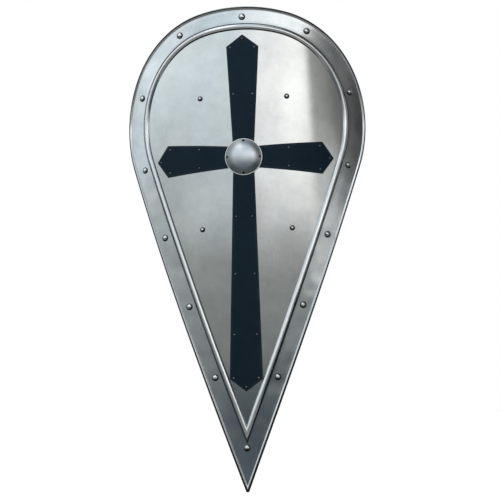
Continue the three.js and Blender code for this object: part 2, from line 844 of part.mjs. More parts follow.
tackPlaces().forEach((place, i) => {
  shield.add(rivetAt(`cross_tack_${i + 1}`, tack, place, crossTop, plateBack, brightSteel));
});

// A boss rivet's head clears the slope of the dome on its inner side.
const bossRivetSeat = bossSeat + bossSheet + domeRise(bossRivetRadius - bossRivet.head);
bossRivetPlaces().forEach((place, i) => {
  const name = `boss_rivet_${i + 1}`;
  shield.add(rivetAt(name, bossRivet, place, bossRivetSeat, plateBack, darkSteel));
});

for (const [label, strap] of [["hand_grip", grip], ["arm_strap", armStrap]]) {
  const back = plateBack - fitGap - strap.thickness;
  strapRivetPlaces(strap).forEach((place, i) => {
    const name = `${label}_rivet_${["left", "right"][i]}`;
    shield.add(rivetAt(name, strapRivet, place, 0, back, brightSteel));
  });
}

const gripGroup = placeOnSheet(grip.offset, gripHeight);
gripGroup.add(namedMesh("hand_grip", handGrip(), brownLeather));

const armGroup = placeOnSheet(armStrap.offset, crossHeight + armStrap.rise);
const roller = namedMesh("buckle_roller", buckleRoller(), darkSteel);
roller.position.set(front.x, front.y, 0);
roller.rotation.x = Math.PI / 2;
const tongue = namedMesh("buckle_prong", buckleProng(), darkSteel);
tongue.position.set(heel.x, heel.y, 0);
const keeperGroup = keeperPlace();
keeperGroup.add(namedMesh("strap_keeper", strapKeeper(), brownLeather));
armGroup.add(
  namedMesh("arm_strap_short_half", shortHalf(), brownLeather),
  namedMesh("arm_strap_long_half", longHalf(), brownLeather),
  namedMesh("buckle_frame", buckleFrame(), darkSteel),
  roller,
  tongue,
  keeperGroup,
);

shield.add(gripGroup, armGroup);

export default shield;
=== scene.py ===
# %% [markdown]
# # A steel kite shield
# The shield is a sheet of steel, cut to a long kite and bent about an upright axis. A rim strip is
# riveted round it, a leather cross is tacked on its front with a small domed boss in the middle,
# and two leather straps hang behind it. The packed model gives every piece its size and its place.
# This lesson builds the fine surface of each piece around that frame and gives it a finish.

# %% Load the fixed frame
import math

import bmesh
import bpy
from mathutils import Matrix, Vector


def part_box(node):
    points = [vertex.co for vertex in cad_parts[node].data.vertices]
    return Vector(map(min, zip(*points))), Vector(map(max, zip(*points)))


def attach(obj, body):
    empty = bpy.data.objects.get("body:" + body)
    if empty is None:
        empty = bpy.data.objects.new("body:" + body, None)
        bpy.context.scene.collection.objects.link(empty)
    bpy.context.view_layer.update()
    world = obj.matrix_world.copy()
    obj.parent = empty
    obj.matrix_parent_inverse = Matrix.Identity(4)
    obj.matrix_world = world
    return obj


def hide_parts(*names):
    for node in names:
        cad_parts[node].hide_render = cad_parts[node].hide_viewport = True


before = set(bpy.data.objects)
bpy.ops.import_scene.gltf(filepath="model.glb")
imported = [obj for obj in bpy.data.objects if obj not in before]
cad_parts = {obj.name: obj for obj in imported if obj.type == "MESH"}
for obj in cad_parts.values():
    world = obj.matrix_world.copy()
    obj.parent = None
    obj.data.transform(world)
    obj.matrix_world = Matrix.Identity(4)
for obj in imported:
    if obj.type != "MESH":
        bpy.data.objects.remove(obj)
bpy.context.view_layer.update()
MM = 0.001


def linked(name, data):
    """A new object that is part of the scene."""
    item = bpy.data.objects.new(name, data)
    bpy.context.scene.collection.objects.link(item)
    return item


print("nodes in the frame:", len(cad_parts))

# %% [markdown]
# ## The sheet as a drawing board
# A smith cuts the kite flat and bends it afterwards. The same order is easiest here: a piece is
# drawn flat, with X across the sheet, Z up it and -Y out of it, and one function or one node group
# then bends it. The bend's radius and the outline's few sizes are the only numbers that are needed.

# %% Sizes of the kite and of its bend
KITE_HEIGHT = 980 * MM
KITE_WIDTH = 532 * MM
CROWN_RISE = 235 * MM
CROWN_TURN = math.radians(13.3)
FLANK_RADIUS = 250 * MM
TIP_RADIUS = 4 * MM
BEND_RADIUS = 400 * MM
PLATE = 1.2 * MM
GAP = 0.35 * MM

HALF_WIDTH = KITE_WIDTH / 2
WIDEST = KITE_HEIGHT - CROWN_RISE
TIP_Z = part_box("rim_band")[0].z
FRONT_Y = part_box("shield_plate")[0].y
BEND_Y = FRONT_Y + BEND_RADIUS


def sheet_place(across, height):
    """The place of a flat point on the bent sheet, as a matrix whose -Y looks straight out."""
    angle = across / BEND_RADIUS
    spot = (BEND_RADIUS * math.sin(angle), BEND_Y - BEND_RADIUS * math.cos(angle), TIP_Z + height)
    return Matrix.Translation(spot) @ Matrix.Rotation(angle, 4, "Z")


print("tip at z", round(TIP_Z, 4), "front at y", round(FRONT_Y, 4))

# %% [markdown]
# ## The outline
# The kite is four arcs and a straight on each side: a wide crown arc, a tighter shoulder, a flank
# that turns inwards, a straight taper, and a small round at the tip. Moved inwards by an inset, the
# arcs keep their middles and only lose radius, so the rivets, the bead and the plate's edge all
# follow one rule.

# %% The kite's outline at any inset
ARC_STEP = math.radians(1.5)
SIDE_STEPS = 60


def arc(middle, radius, start, end, steps):
    """The points of an arc, both ends included."""
    angles = [start + (end - start) * i / steps for i in range(steps + 1)]
    return [(middle[0] + radius * math.cos(a), middle[1] + radius * math.sin(a)) for a in angles]


def kite_half(inset):
    """The right half of the outline as flat (across, height) points, from the crown to the tip."""
    sine, cosine = math.sin(CROWN_TURN), math.cos(CROWN_TURN)
    mix = sine + cosine - 1
    crown = (HALF_WIDTH * cosine - CROWN_RISE * (1 - sine)) / mix
    shoulder = (CROWN_RISE * sine - HALF_WIDTH * (1 - cosine)) / mix
    flank_x = HALF_WIDTH - FLANK_RADIUS
    flank_up = WIDEST - TIP_RADIUS
    lean = math.asin((FLANK_RADIUS - TIP_RADIUS) / math.hypot(flank_x, flank_up))
    taper = math.atan2(flank_x, flank_up) + lean
    quarter = math.pi / 2
    join = quarter - CROWN_TURN
    tip_round = max(TIP_RADIUS - inset, 0)
    mitre = TIP_RADIUS + max(inset - TIP_RADIUS, 0) / math.sin(taper)
    points = []

    def add_arc(middle, radius, start, end):
        points.extend(arc(middle, radius, start, end, math.ceil(abs(end - start) / ARC_STEP))[:-1])

    add_arc((0, KITE_HEIGHT - crown), crown - inset, quarter, join)
    add_arc((HALF_WIDTH - shoulder, WIDEST), shoulder - inset, join, 0)
    add_arc((flank_x, WIDEST), FLANK_RADIUS - inset, 0, -taper)
    top = arc((flank_x, WIDEST), FLANK_RADIUS - inset, 0, -taper, 1)[1]
    end = arc((0, mitre), tip_round, -taper, 0, 1)[0]
    for i in range(SIDE_STEPS):
        points.append(tuple(a + (b - a) * (i / SIDE_STEPS) for a, b in zip(top, end)))
    add_arc((0, mitre), tip_round, -taper, -quarter)
    points.append((0, mitre - tip_round))
    points[0] = (0, points[0][1])
    return points


def kite_loop(inset):
    """The whole outline, closed: down the right side and up the left."""
    half = kite_half(inset)
    return half + [(-across, height) for across, height in reversed(half[1:-1])]


print("outline points:", len(kite_loop(0)))

# %% [markdown]
# ## The camera
# The photograph was taken from slightly to the right and below, with a long lens. Its place follows
# from the outline and the rivets of the shield: a point that the lens looks at, a distance and
# three angles say it all.

# %% Place the camera
VIEW_AZIMUTH = 4.5
VIEW_ELEVATION = -6.8
VIEW_ROLL = math.radians(-0.75)
VIEW_DISTANCE = 2.5
LENS_MM = 90
FAR_CLIP = 100
AIM = Vector((10.4 * MM, FRONT_Y, -314.4 * MM))


def direction(azimuth, elevation=0):
    """A unit vector at an azimuth, from the shield's front round to +X, and an elevation."""
    turn, rise = math.radians(azimuth), math.radians(elevation)
    return Vector((math.sin(turn) * math.cos(rise), -math.cos(turn) * math.cos(rise),
                   math.sin(rise)))


back = direction(VIEW_AZIMUTH, VIEW_ELEVATION)
level = Vector((0, 0, 1)).cross(back).normalized()
right = math.cos(VIEW_ROLL) * level + math.sin(VIEW_ROLL) * back.cross(level)
camera = linked("camera", bpy.data.cameras.new("camera"))
turned_so = Matrix((right, back.cross(right), back)).transposed().to_4x4()
camera.matrix_world = Matrix.Translation(AIM + VIEW_DISTANCE * back) @ turned_so
camera.data.lens = LENS_MM
camera.data.clip_end = FAR_CLIP
bpy.context.scene.camera = camera
bpy.context.scene.view_settings.view_transform = "Standard"
print("camera at", [round(value, 3) for value in camera.location])

# %% [markdown]
# ## Shader helpers
# Each finish is a small node tree. One helper adds a node, sets its plain values and links the
# rest, so that a material reads as a list of what the surface has: a colour that drifts, a grain,
# a wave.

# %% Add shader nodes in one line
def fill(tree, node, inputs):
    """Links each input to a socket or sets its value; a colour may leave out its alpha."""
    for name, value in inputs.items():
        socket = node.inputs[name]
        if isinstance(value, bpy.types.NodeSocket):
            tree.links.new(value, socket)
        elif socket.type == "RGBA" and len(value) == 3:
            socket.default_value = (*value, 1)
        else:
            socket.default_value = value


def add(tree, kind, inputs=None, **settings):
    """Adds a node with its settings and its inputs; returns its output sockets."""
    node = tree.nodes.new(kind)
    for name, value in settings.items():
        setattr(node, name, value)
    fill(tree, node, inputs or {})
    return node.outputs


def new_material(name, kind="ShaderNodeBsdfPrincipled"):
    """An empty material with one shader, and its tree."""
    material = bpy.data.materials.new(name)
    material.use_nodes = True
    tree = material.node_tree
    tree.nodes.clear()
    shader = tree.nodes.new(kind)
    add(tree, "ShaderNodeOutputMaterial", {"Surface": shader.outputs[0]})
    return material, tree, shader


print("a finish starts with", new_material.__name__)

# %% [markdown]
# Most of the rest are one node each: where on the surface a pattern lies, how a value drifts or
# steps, and what that does to a colour or to the height.

# %% Place, drift and step a value
def surface_place(tree, uv_name=None, scale=(1, 1, 1)):
    """Object coordinates, or the piece's own UV map, stretched by a scale on each axis."""
    if uv_name:
        source = add(tree, "ShaderNodeUVMap", uv_map=uv_name)["UV"]
    else:
        source = add(tree, "ShaderNodeTexCoord")["Object"]
    return add(tree, "ShaderNodeMapping", {"Vector": source, "Scale": scale})["Vector"]


def axes_of(tree, vector):
    """A vector's X, Y and Z sockets."""
    return add(tree, "ShaderNodeSeparateXYZ", {0: vector})


def noise(tree, place, scale, detail=3.0, roughness=0.5):
    """A noise value, 0 to 1 around a half."""
    settings = {"Vector": place, "Scale": scale, "Detail": detail, "Roughness": roughness}
    return add(tree, "ShaderNodeTexNoise", settings)["Fac"]


def remap(tree, value, source, target=(0, 1), how="LINEAR"):
    """A value stretched from one range to another, and held inside it."""
    settings = {"Value": value, "From Min": source[0], "From Max": source[1],
                "To Min": target[0], "To Max": target[1]}
    return add(tree, "ShaderNodeMapRange", settings, interpolation_type=how)["Result"]


def ramp(tree, value, edge, width, high=1.0):
    """A smooth step past an edge; a negative width steps the other way."""
    return remap(tree, value, (edge, edge + width), (0, high), "SMOOTHSTEP")


def sums(tree, operation, first, second=0.0):
    """One step of arithmetic."""
    return add(tree, "ShaderNodeMath", {0: first, 1: second}, operation=operation)[0]


def mix_colour(tree, share, first, second, blend="MIX"):
    """Two colours mixed by a share."""
    return add(tree, "ShaderNodeMix", {0: share, 6: first, 7: second},
               data_type="RGBA", blend_type=blend)[2]


def shade_value(tree, colour, value):
    """A colour made lighter or darker by a value."""
    return add(tree, "ShaderNodeHueSaturation", {"Color": colour, "Value": value})["Color"]


def bump(tree, height, distance, strength=1.0, under=None):
    """A bump of a real height in metres, on top of another normal."""
    settings = {"Height": height, "Distance": distance, "Strength": strength}
    if under is not None:
        settings["Normal"] = under
    return add(tree, "ShaderNodeBump", settings)["Normal"]


print("ramp:", ramp.__doc__)

# %% [markdown]
# ## Steel
# The plate is satin: wiped upright with a fine abrasive, so its reflections are soft, and a little
# darker where the polish was thin. The rim was polished along its length. No sheet is quite true
# after bending, so a broad shallow wave bends what it mirrors. Grain, cloud and wave are three
# noises; only their scales and depths differ between pieces. Where two surfaces meet, the corner
# gets a line of painted shade and the edge beside it a line of painted highlight. Such lines run
# along a piece, so they are told in metres along its UV map's Y, the distance walked along its
# section.

# %% Steel finishes
# Painted shade for creases and corners, and a painted highlight for crests, lips and rivet tops.
PAINTED_SHADE = (0.010, 0.011, 0.013)
PAINTED_HIGHLIGHT = (0.97, 0.97, 0.97)
COOL_TINT = (0.975, 1.0, 1.0)
WARM_TINT = (1.0, 0.99, 0.975)
RUST_BROWN = (0.13, 0.11, 0.09)
LINE_FADE = -0.7

# Noises are (scale, detail, roughness), grains (scale on each axis, depth); the pairs are ranges.
CLOUD, CLOUD_RANGE = (14, 6, 0.66), (0.32, 0.68)
PATCH = (4.5, 2, 0.5)
HAIR, HAIR_RANGE, HAIR_SHADES = (1, 4, 0.6), (0.3, 0.7), (0.97, 1.03)
PITS, PIT_RANGE = (420, 2, 0.6), (0.67, 0.74)
CAST, CAST_RANGE = (8, 3, 0.5), (0.35, 0.65)
POLISH_RANGE = (0.75, 1.25)
LINE_RANGE, LINE_COVER = (0.2, 0.6), (0.75, 1)
UPRIGHT_GRAIN = ((2600, 2600, 90), 0.00001)
ALONG_GRAIN = ((40, 2200, 1), 0.00003)
EVEN_GRAIN = ((900, 900, 900), 0.00001)


def steel(name, light, dark, gloss, grain, wave, uv_name=None, soil=0.35, lines=()):
    """Worked steel. gloss is (smooth, rough), grain (scale per axis, depth), wave (scale, depth).

    A painted line, of painted shade or painted highlight, is (middle, half width, strength, colour,
    metallic value).
    """
    material, tree, shader = new_material(name)
    plain = surface_place(tree)
    cloud = noise(tree, plain, *CLOUD)
    patch = noise(tree, plain, *PATCH)
    hair = noise(tree, surface_place(tree, uv_name, grain[0]), *HAIR)
    pits = noise(tree, plain, *PITS)
    broad = noise(tree, plain, wave[0], detail=1, roughness=0.4)
    cast = remap(tree, noise(tree, plain, *CAST), CAST_RANGE)
    tint = mix_colour(tree, cast, COOL_TINT, WARM_TINT)
    colour = mix_colour(tree, remap(tree, cloud, CLOUD_RANGE), dark, light)
    colour = shade_value(tree, colour, remap(tree, hair, HAIR_RANGE, HAIR_SHADES))
    colour = mix_colour(tree, remap(tree, pits, PIT_RANGE, (0, soil)), colour, RUST_BROWN)
    colour = mix_colour(tree, 1.0, colour, tint, "MULTIPLY")
    metal = 1.0
    section = axes_of(tree, surface_place(tree, uv_name))["Y"] if lines else None
    # Each line paints shade or a highlight along the section, made uneven by the cloud.
    for middle, half, strength, line_colour, line_metal in lines:
        off = sums(tree, "ABSOLUTE", sums(tree, "SUBTRACT", section, middle))
        cover = ramp(tree, off, half, LINE_FADE * half, strength)
        uneven = sums(tree, "MULTIPLY", cover, remap(tree, cloud, LINE_RANGE, LINE_COVER))
        colour = mix_colour(tree, uneven, colour, line_colour)
        metal = remap(tree, uneven, (0, 1), (metal, line_metal))
    uneven_polish = sums(tree, "ADD", patch, hair)
    fill(tree, shader, {
        "Base Color": colour,
        "Metallic": metal,
        "Roughness": remap(tree, uneven_polish, POLISH_RANGE, gloss),
        "Normal": bump(tree, hair, grain[1], 0.5, bump(tree, broad, wave[1])),
    })
    return material


SATIN_STEEL = steel("satin_steel", light=(0.715, 0.725, 0.72), dark=(0.585, 0.595, 0.59),
                    gloss=(0.11, 0.17), grain=UPRIGHT_GRAIN, wave=(5, 0.0012))
TACK_STEEL = steel("tack_steel", light=(0.30, 0.31, 0.33), dark=(0.16, 0.17, 0.19),
                   gloss=(0.2, 0.34), grain=EVEN_GRAIN, wave=(200, 0.0001), soil=0.6)
DARK_STEEL = steel("dark_steel", light=(0.22, 0.225, 0.235), dark=(0.10, 0.10, 0.11),
                   gloss=(0.25, 0.42), grain=EVEN_GRAIN, wave=(80, 0.0002), soil=0.6)
BLACK_STEEL = steel("black_steel", light=(0.014, 0.014, 0.016), dark=(0.006, 0.006, 0.007),
                    gloss=(0.3, 0.45), grain=EVEN_GRAIN, wave=(120, 0.0001), soil=0.0)
print("steels:", [m.name for m in (SATIN_STEEL, TACK_STEEL, DARK_STEEL, BLACK_STEEL)])

# %% [markdown]
# ## Leather
# The cross is thin leather dyed almost black, with a blue cast, and pressed hard against the steel.
# The straps are thick brown leather, oiled darker where hands rub. Leather has pebbles of half a
# millimetre, fine creases, and a sheen that the pebbles break up. A Voronoi texture gives the
# pebbles and a stretched noise gives the creases.

# %% Leather finishes
# Noises are (scale, detail, roughness); the pairs are ranges.
DYE, DYE_RANGE = (30, 5, 0.6), (0.3, 0.7)
CREASES, CREASE_RANGE, CREASE_STRETCH = (1, 5, 0.65), (0.3, 0.7), (90, 90, 260)
WORN_RANGE, WORN_COVER = (0.1, 0.6), (0, 0.8)
PEBBLE_RANGE, PEBBLE_SHADES = (0, 0.5), (0.8, 1.05)
CREASE_SHARE = 0.6


def leather(name, light, dark, worn, gloss, pebble, depth, sheen, sheen_tint=(1, 1, 1)):
    """Dyed leather with pebbled grain, creases and, along its edges, a worn tone."""
    material, tree, shader = new_material(name)
    plain = surface_place(tree)
    cells = add(tree, "ShaderNodeTexVoronoi", {"Vector": plain, "Scale": pebble})["Distance"]
    dye = noise(tree, plain, *DYE)
    crease = noise(tree, surface_place(tree, None, CREASE_STRETCH), *CREASES)
    edge = add(tree, "ShaderNodeAttribute", attribute_name="edge")["Fac"]
    rubbed = remap(tree, sums(tree, "MULTIPLY", edge, dye), WORN_RANGE, WORN_COVER)
    colour = mix_colour(tree, remap(tree, dye, DYE_RANGE), dark, light)
    colour = mix_colour(tree, rubbed, colour, worn)
    fill(tree, shader, {
        "Base Color": shade_value(tree, colour, remap(tree, cells, PEBBLE_RANGE, PEBBLE_SHADES)),
        "Roughness": remap(tree, crease, CREASE_RANGE, gloss),
        "Specular IOR Level": sheen,
        "Specular Tint": sheen_tint,
        "Normal": bump(tree, crease, depth, CREASE_SHARE, bump(tree, cells, depth)),
    })
    return material


CROSS_LEATHER = leather("cross_leather", light=(0.0022, 0.0105, 0.0190),
                        dark=(0.0010, 0.0058, 0.0115), worn=(0.020, 0.028, 0.036),
                        gloss=(0.40, 0.60), pebble=900, depth=0.00010, sheen=0.36,
                        sheen_tint=(0.50, 0.75, 1.0))
STRAP_LEATHER = leather("strap_leather", light=(0.15, 0.066, 0.028), dark=(0.075, 0.031, 0.013),
                        worn=(0.035, 0.017, 0.01), gloss=(0.42, 0.66), pebble=700,
                        depth=0.00018, sheen=0.4)
THREAD, thread_tree, thread_shader = new_material("waxed_thread")
twist = noise(thread_tree, surface_place(thread_tree, None, (3000, 3000, 3000)), 1, detail=2)
fill(thread_tree, thread_shader, {
    "Base Color": mix_colour(thread_tree, twist, (0.62, 0.52, 0.36), (0.40, 0.31, 0.19)),
    "Normal": bump(thread_tree, twist, 0.0001),
    "Roughness": 0.7,
})
print("leathers:", CROSS_LEATHER.name, STRAP_LEATHER.name)

# %% [markdown]
# ## Mesh helpers
# A sweep carries a closed section along a list of places: the rim, the straps and the buckle's bars
# are all sweeps. Each piece comes out as a plain object whose place is in its mesh.

# %% Turn points and faces into a smooth piece
SHARP = math.radians(38)
MERGE = 0.002 * MM


def mesh_of(name, points, faces, uvs=None, edges=()):
    """A mesh from points and faces, with UVs for each corner of each face."""
    mesh = bpy.data.meshes.new(name)
    mesh.from_pydata([tuple(point) for point in points], edges, faces)
    if uvs:
        layer = mesh.uv_layers.new(name="along")
        for loop, uv in zip(layer.data, (uv for face in uvs for uv in face)):
            loop.uv = uv
    return mesh


def mark_points(mesh, name, kind, values):
    """Stores a value for each point of a mesh."""
    attribute = mesh.attributes.new(name, kind, "POINT")
    attribute.data.foreach_set("value" if kind == "FLOAT" else "vector", values)


def smooth(mesh):
    """Shades a mesh smooth but for its sharp edges."""
    mesh.shade_smooth()
    mesh.set_sharp_from_angle(angle=SHARP)


def close_work(work, name):
    """The mesh of a bmesh that is done with."""
    mesh = bpy.data.meshes.new(name)
    work.to_mesh(mesh)
    work.free()
    return mesh


def finished(name, mesh, material):
    """A piece with doubled points merged, its faces turned outwards, and its material."""
    work = bmesh.new()
    work.from_mesh(mesh)
    bmesh.ops.remove_doubles(work, verts=work.verts, dist=MERGE)
    bmesh.ops.recalc_face_normals(work, faces=work.faces)
    work.to_mesh(mesh)
    work.free()
    smooth(mesh)
    mesh.materials.clear()
    mesh.materials.append(material)
    return linked(name, mesh)


def made_mesh(piece):
    """The plain mesh that an object's modifiers make of it; they come off."""
    piece.update_tag()
    bpy.context.view_layer.update()
    graph = bpy.context.evaluated_depsgraph_get()
    mesh = bpy.data.meshes.new_from_object(piece.evaluated_get(graph), depsgraph=graph)
    piece.modifiers.clear()
    smooth(mesh)
    return mesh


print("edges past", round(math.degrees(SHARP)), "degrees stay sharp")

# %% Sweep a section, and hand a piece over
def walks(points):
    """How far a walk along some points has come at each of them."""
    lengths = [0.0]
    for first, second in zip(points, points[1:]):
        lengths.append(lengths[-1] + math.dist(first, second))
    return lengths


def sweep(name, rings, material, closed=False, place=Matrix()):
    """A skin over rings of points, each ring closed, with UVs in metres along and round."""
    count = len(rings[0])
    points = [place @ Vector(point) for ring in rings for point in ring]
    middles = [sum((Vector(p) for p in ring), Vector()) / count for ring in rings]
    along = walks(middles + middles[:1])
    around = walks([*rings[0], rings[0][0]])
    faces, uvs = [], []
    for row in range(len(rings) if closed else len(rings) - 1):
        start, below = row * count, ((row + 1) % len(rings)) * count
        near, far = along[row], along[row + 1]
        for i in range(count):
            j = (i + 1) % count
            faces.append((start + i, start + j, below + j, below + i))
            uvs.append(((near, around[i]), (near, around[i + 1]),
                        (far, around[i + 1]), (far, around[i])))
    for row in () if closed else (0, len(rings) - 1):
        faces.append(tuple(range(row * count, (row + 1) * count)))
        uvs.append(tuple((along[row], around[i]) for i in range(count)))
    return finished(name, mesh_of(name, points, faces, uvs), material)


def full_turn(steps):
    """Evenly spaced angles, once all the way round."""
    return [2 * math.pi * i / steps for i in range(steps)]


def hand_over(piece, body, nodes):
    """Lets a piece ride on its body and stand for the frame's nodes."""
    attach(piece, body)
    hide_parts(*nodes)
    print(piece.name, "has", len(piece.data.polygons), "faces, for", len(nodes), "nodes")


print("a full turn in four steps:", [round(angle, 2) for angle in full_turn(4)])


# %% [markdown]
# ## Geometry Nodes helpers
# A tree is built with named inputs, so that one tree serves several pieces. Running it on an object
# gives a plain mesh: the inputs are set by their sockets' identifiers, the object is evaluated, and
# the result is copied out, so no modifier stays behind.

# %% Build and run node trees
def new_tree(name, inputs):
    """A Geometry Nodes tree with a geometry input and named inputs after it."""
    tree = bpy.data.node_groups.new(name, "GeometryNodeTree")
    for label, kind in {"Geometry": "Geometry", **inputs}.items():
        tree.interface.new_socket(label, in_out="INPUT", socket_type="NodeSocket" + kind)
    tree.interface.new_socket("Geometry", in_out="OUTPUT", socket_type="NodeSocketGeometry")
    return tree, tree.nodes.new("NodeGroupInput").outputs, tree.nodes.new("NodeGroupOutput")


def run_tree(name, source, tree, values):
    """The plain object that a tree makes from a source object, which is used up."""
    modifier = source.modifiers.new(tree.name, "NODES")
    modifier.node_group = tree
    for item in tree.interface.items_tree:
        if item.in_out == "INPUT" and item.name in values:
            modifier[item.identifier] = values[item.name]
    mesh = made_mesh(source)
    bpy.data.objects.remove(source)
    return linked(name, mesh)


def end_tree(tree, geometry, material, out):
    """Ends a tree: real geometry instead of instances, and its material."""
    real = add(tree, "GeometryNodeRealizeInstances", {0: geometry})[0]
    settings = {"Geometry": real, "Material": material}
    fill(tree, out, {"Geometry": add(tree, "GeometryNodeSetMaterial", settings)[0]})


def bend_group():
    """A node group that bends what is drawn flat onto the sheet."""
    inputs = {"Radius": "Float", "Middle": "Float", "Tip": "Float"}
    tree, given, out = new_tree("bend_onto_the_sheet", inputs)
    flat = axes_of(tree, add(tree, "GeometryNodeInputPosition")[0])
    angle = sums(tree, "DIVIDE", flat["X"], given["Radius"])
    radius = sums(tree, "SUBTRACT", given["Radius"], flat["Y"])
    forward = sums(tree, "MULTIPLY", radius, sums(tree, "COSINE", angle))
    bent = add(tree, "ShaderNodeCombineXYZ", {
        "X": sums(tree, "MULTIPLY", radius, sums(tree, "SINE", angle)),
        "Y": sums(tree, "SUBTRACT", given["Middle"], forward),
        "Z": sums(tree, "ADD", flat["Z"], given["Tip"]),
    })[0]
    settings = {"Geometry": given["Geometry"], "Position": bent}
    fill(tree, out, {"Geometry": add(tree, "GeometryNodeSetPosition", settings)[0]})
    return tree


BEND = bend_group()


def bent(tree, geometry):
    """Adds the bending group to a tree and returns what comes out of it."""
    return add(tree, "GeometryNodeGroup", {
        "Geometry": geometry, "Radius": BEND_RADIUS, "Middle": BEND_Y, "Tip": TIP_Z,
    }, node_tree=BEND)[0]


BENDER, bender_inputs, bender_out = new_tree("bend_a_flat_piece", {"Finish": "Material"})
end_tree(BENDER, bent(BENDER, bender_inputs["Geometry"]), bender_inputs["Finish"], bender_out)


def bend_onto_sheet(name, flat, material):
    """The bent piece that a flat one becomes."""
    return run_tree(name, flat, BENDER, {"Finish": material})


print("node groups:", [group.name for group in bpy.data.node_groups])

# %% [markdown]
# ## The plate
# The plate is the piece whose shape follows a rule, so a node tree makes all of it: a grid is
# lofted between the left and right halves of the outline, given its thickness, closed, and bent.
# The outline goes in as a curve, and only its inset, where the rolled rim begins, is the plate's
# own.

# %% Loft the plate inside its outline
ROLL_DIAMETER = 7 * MM
PLATE_ROWS = 260
PLATE_COLUMNS = 121
CLOSE_GAP = 0.01 * MM


def outline_curve(inset):
    """Half the outline as a curve from tip to crown, for the tree to sample."""
    curve = bpy.data.curves.new("outline", "CURVE")
    curve.dimensions = "3D"
    half = list(reversed(kite_half(inset)))
    spline = curve.splines.new("POLY")
    spline.points.add(len(half) - 1)
    for point, (across, height) in zip(spline.points, half):
        point.co = (across, 0, height, 1)
    return linked("outline", curve)


def plate_tree():
    """A bent plate inside an outline."""
    tree, given, out = new_tree("plate_inside_an_outline", {
        "Outline": "Object", "Rows": "Int", "Columns": "Int", "Thickness": "Float",
        "Finish": "Material",
    })
    edge = add(tree, "GeometryNodeObjectInfo", {"Object": given["Outline"]})["Geometry"]
    grid = add(tree, "GeometryNodeMeshGrid", {
        "Size X": 2.0, "Size Y": 1.0, "Vertices X": given["Columns"], "Vertices Y": given["Rows"],
    })["Mesh"]
    square = axes_of(tree, add(tree, "GeometryNodeInputPosition")[0])
    share = {"Curves": edge, "Factor": sums(tree, "ADD", square["Y"], 0.5)}
    sample = add(tree, "GeometryNodeSampleCurve", share, mode="FACTOR")
    side = axes_of(tree, sample["Position"])
    lofted = add(tree, "ShaderNodeCombineXYZ", {
        "X": sums(tree, "MULTIPLY", square["X"], side["X"]), "Y": given["Thickness"],
        "Z": side["Z"],
    })[0]
    rear = add(tree, "GeometryNodeSetPosition", {"Geometry": grid, "Position": lofted})[0]
    forward = {"Y": sums(tree, "MULTIPLY", given["Thickness"], -1)}
    front = add(tree, "GeometryNodeExtrudeMesh", {
        "Mesh": rear, "Offset": add(tree, "ShaderNodeCombineXYZ", forward)[0],
        "Offset Scale": 1.0, "Individual": False,
    }, mode="FACES")["Mesh"]
    both = tree.nodes.new("GeometryNodeJoinGeometry")
    for surface in (front, add(tree, "GeometryNodeFlipFaces", {"Mesh": rear})[0]):
        tree.links.new(surface, both.inputs[0])
    settings = {"Geometry": both.outputs[0], "Distance": CLOSE_GAP}
    closed = add(tree, "GeometryNodeMergeByDistance", settings)[0]
    end_tree(tree, bent(tree, closed), given["Finish"], out)
    return tree


plate_outline = outline_curve(ROLL_DIAMETER)
blank = linked("blank", bpy.data.meshes.new("blank"))
plate = run_tree("field_plate", blank, plate_tree(), {
    "Outline": plate_outline, "Rows": PLATE_ROWS, "Columns": PLATE_COLUMNS,
    "Thickness": PLATE, "Finish": SATIN_STEEL,
})
bpy.data.objects.remove(plate_outline)
hand_over(plate, "shield", ["shield_plate"])

# %% [markdown]
# ## The rim strip
# One strip runs all the way round: a bead raised along its inner border, a flat land for the
# rivets, and an edge rolled round a wire and turned back behind the plate. Its section is drawn
# once, as insets from the outline and lifts off the plate, and each corner of the section becomes a
# loop round the kite. Insets keep the mitre at the tip true, which a plain sweep along the outline
# would not.

# %% Draw the rim's section
RIM_WIDTH = 49 * MM
RIM_SHEET = 1.2 * MM
BEAD_WIDTH = 13 * MM
BEAD_RISE = 4.3 * MM
RETURN_INSET = 13 * MM
RIM_TOP = GAP + RIM_SHEET
ROLL_RADIUS = ROLL_DIAMETER / 2
RETURN_FRONT = -PLATE - GAP
ROLL_LIFT = RETURN_FRONT - RIM_SHEET + ROLL_RADIUS
BORE_RADIUS = ROLL_RADIUS - RIM_SHEET
FILLET = 1.3 * MM
CREASE = 0.7 * MM
SECTION_STEP = math.radians(9)
LAND_SHARES = (0.25, 0.5, 0.75)


def section_arc(inset, lift, radius, start, end):
    """An arc of a section, as (inset, lift) points."""
    steps = max(2, math.ceil(abs(end - start) / SECTION_STEP))
    return arc((inset, lift), radius, start, end, steps)


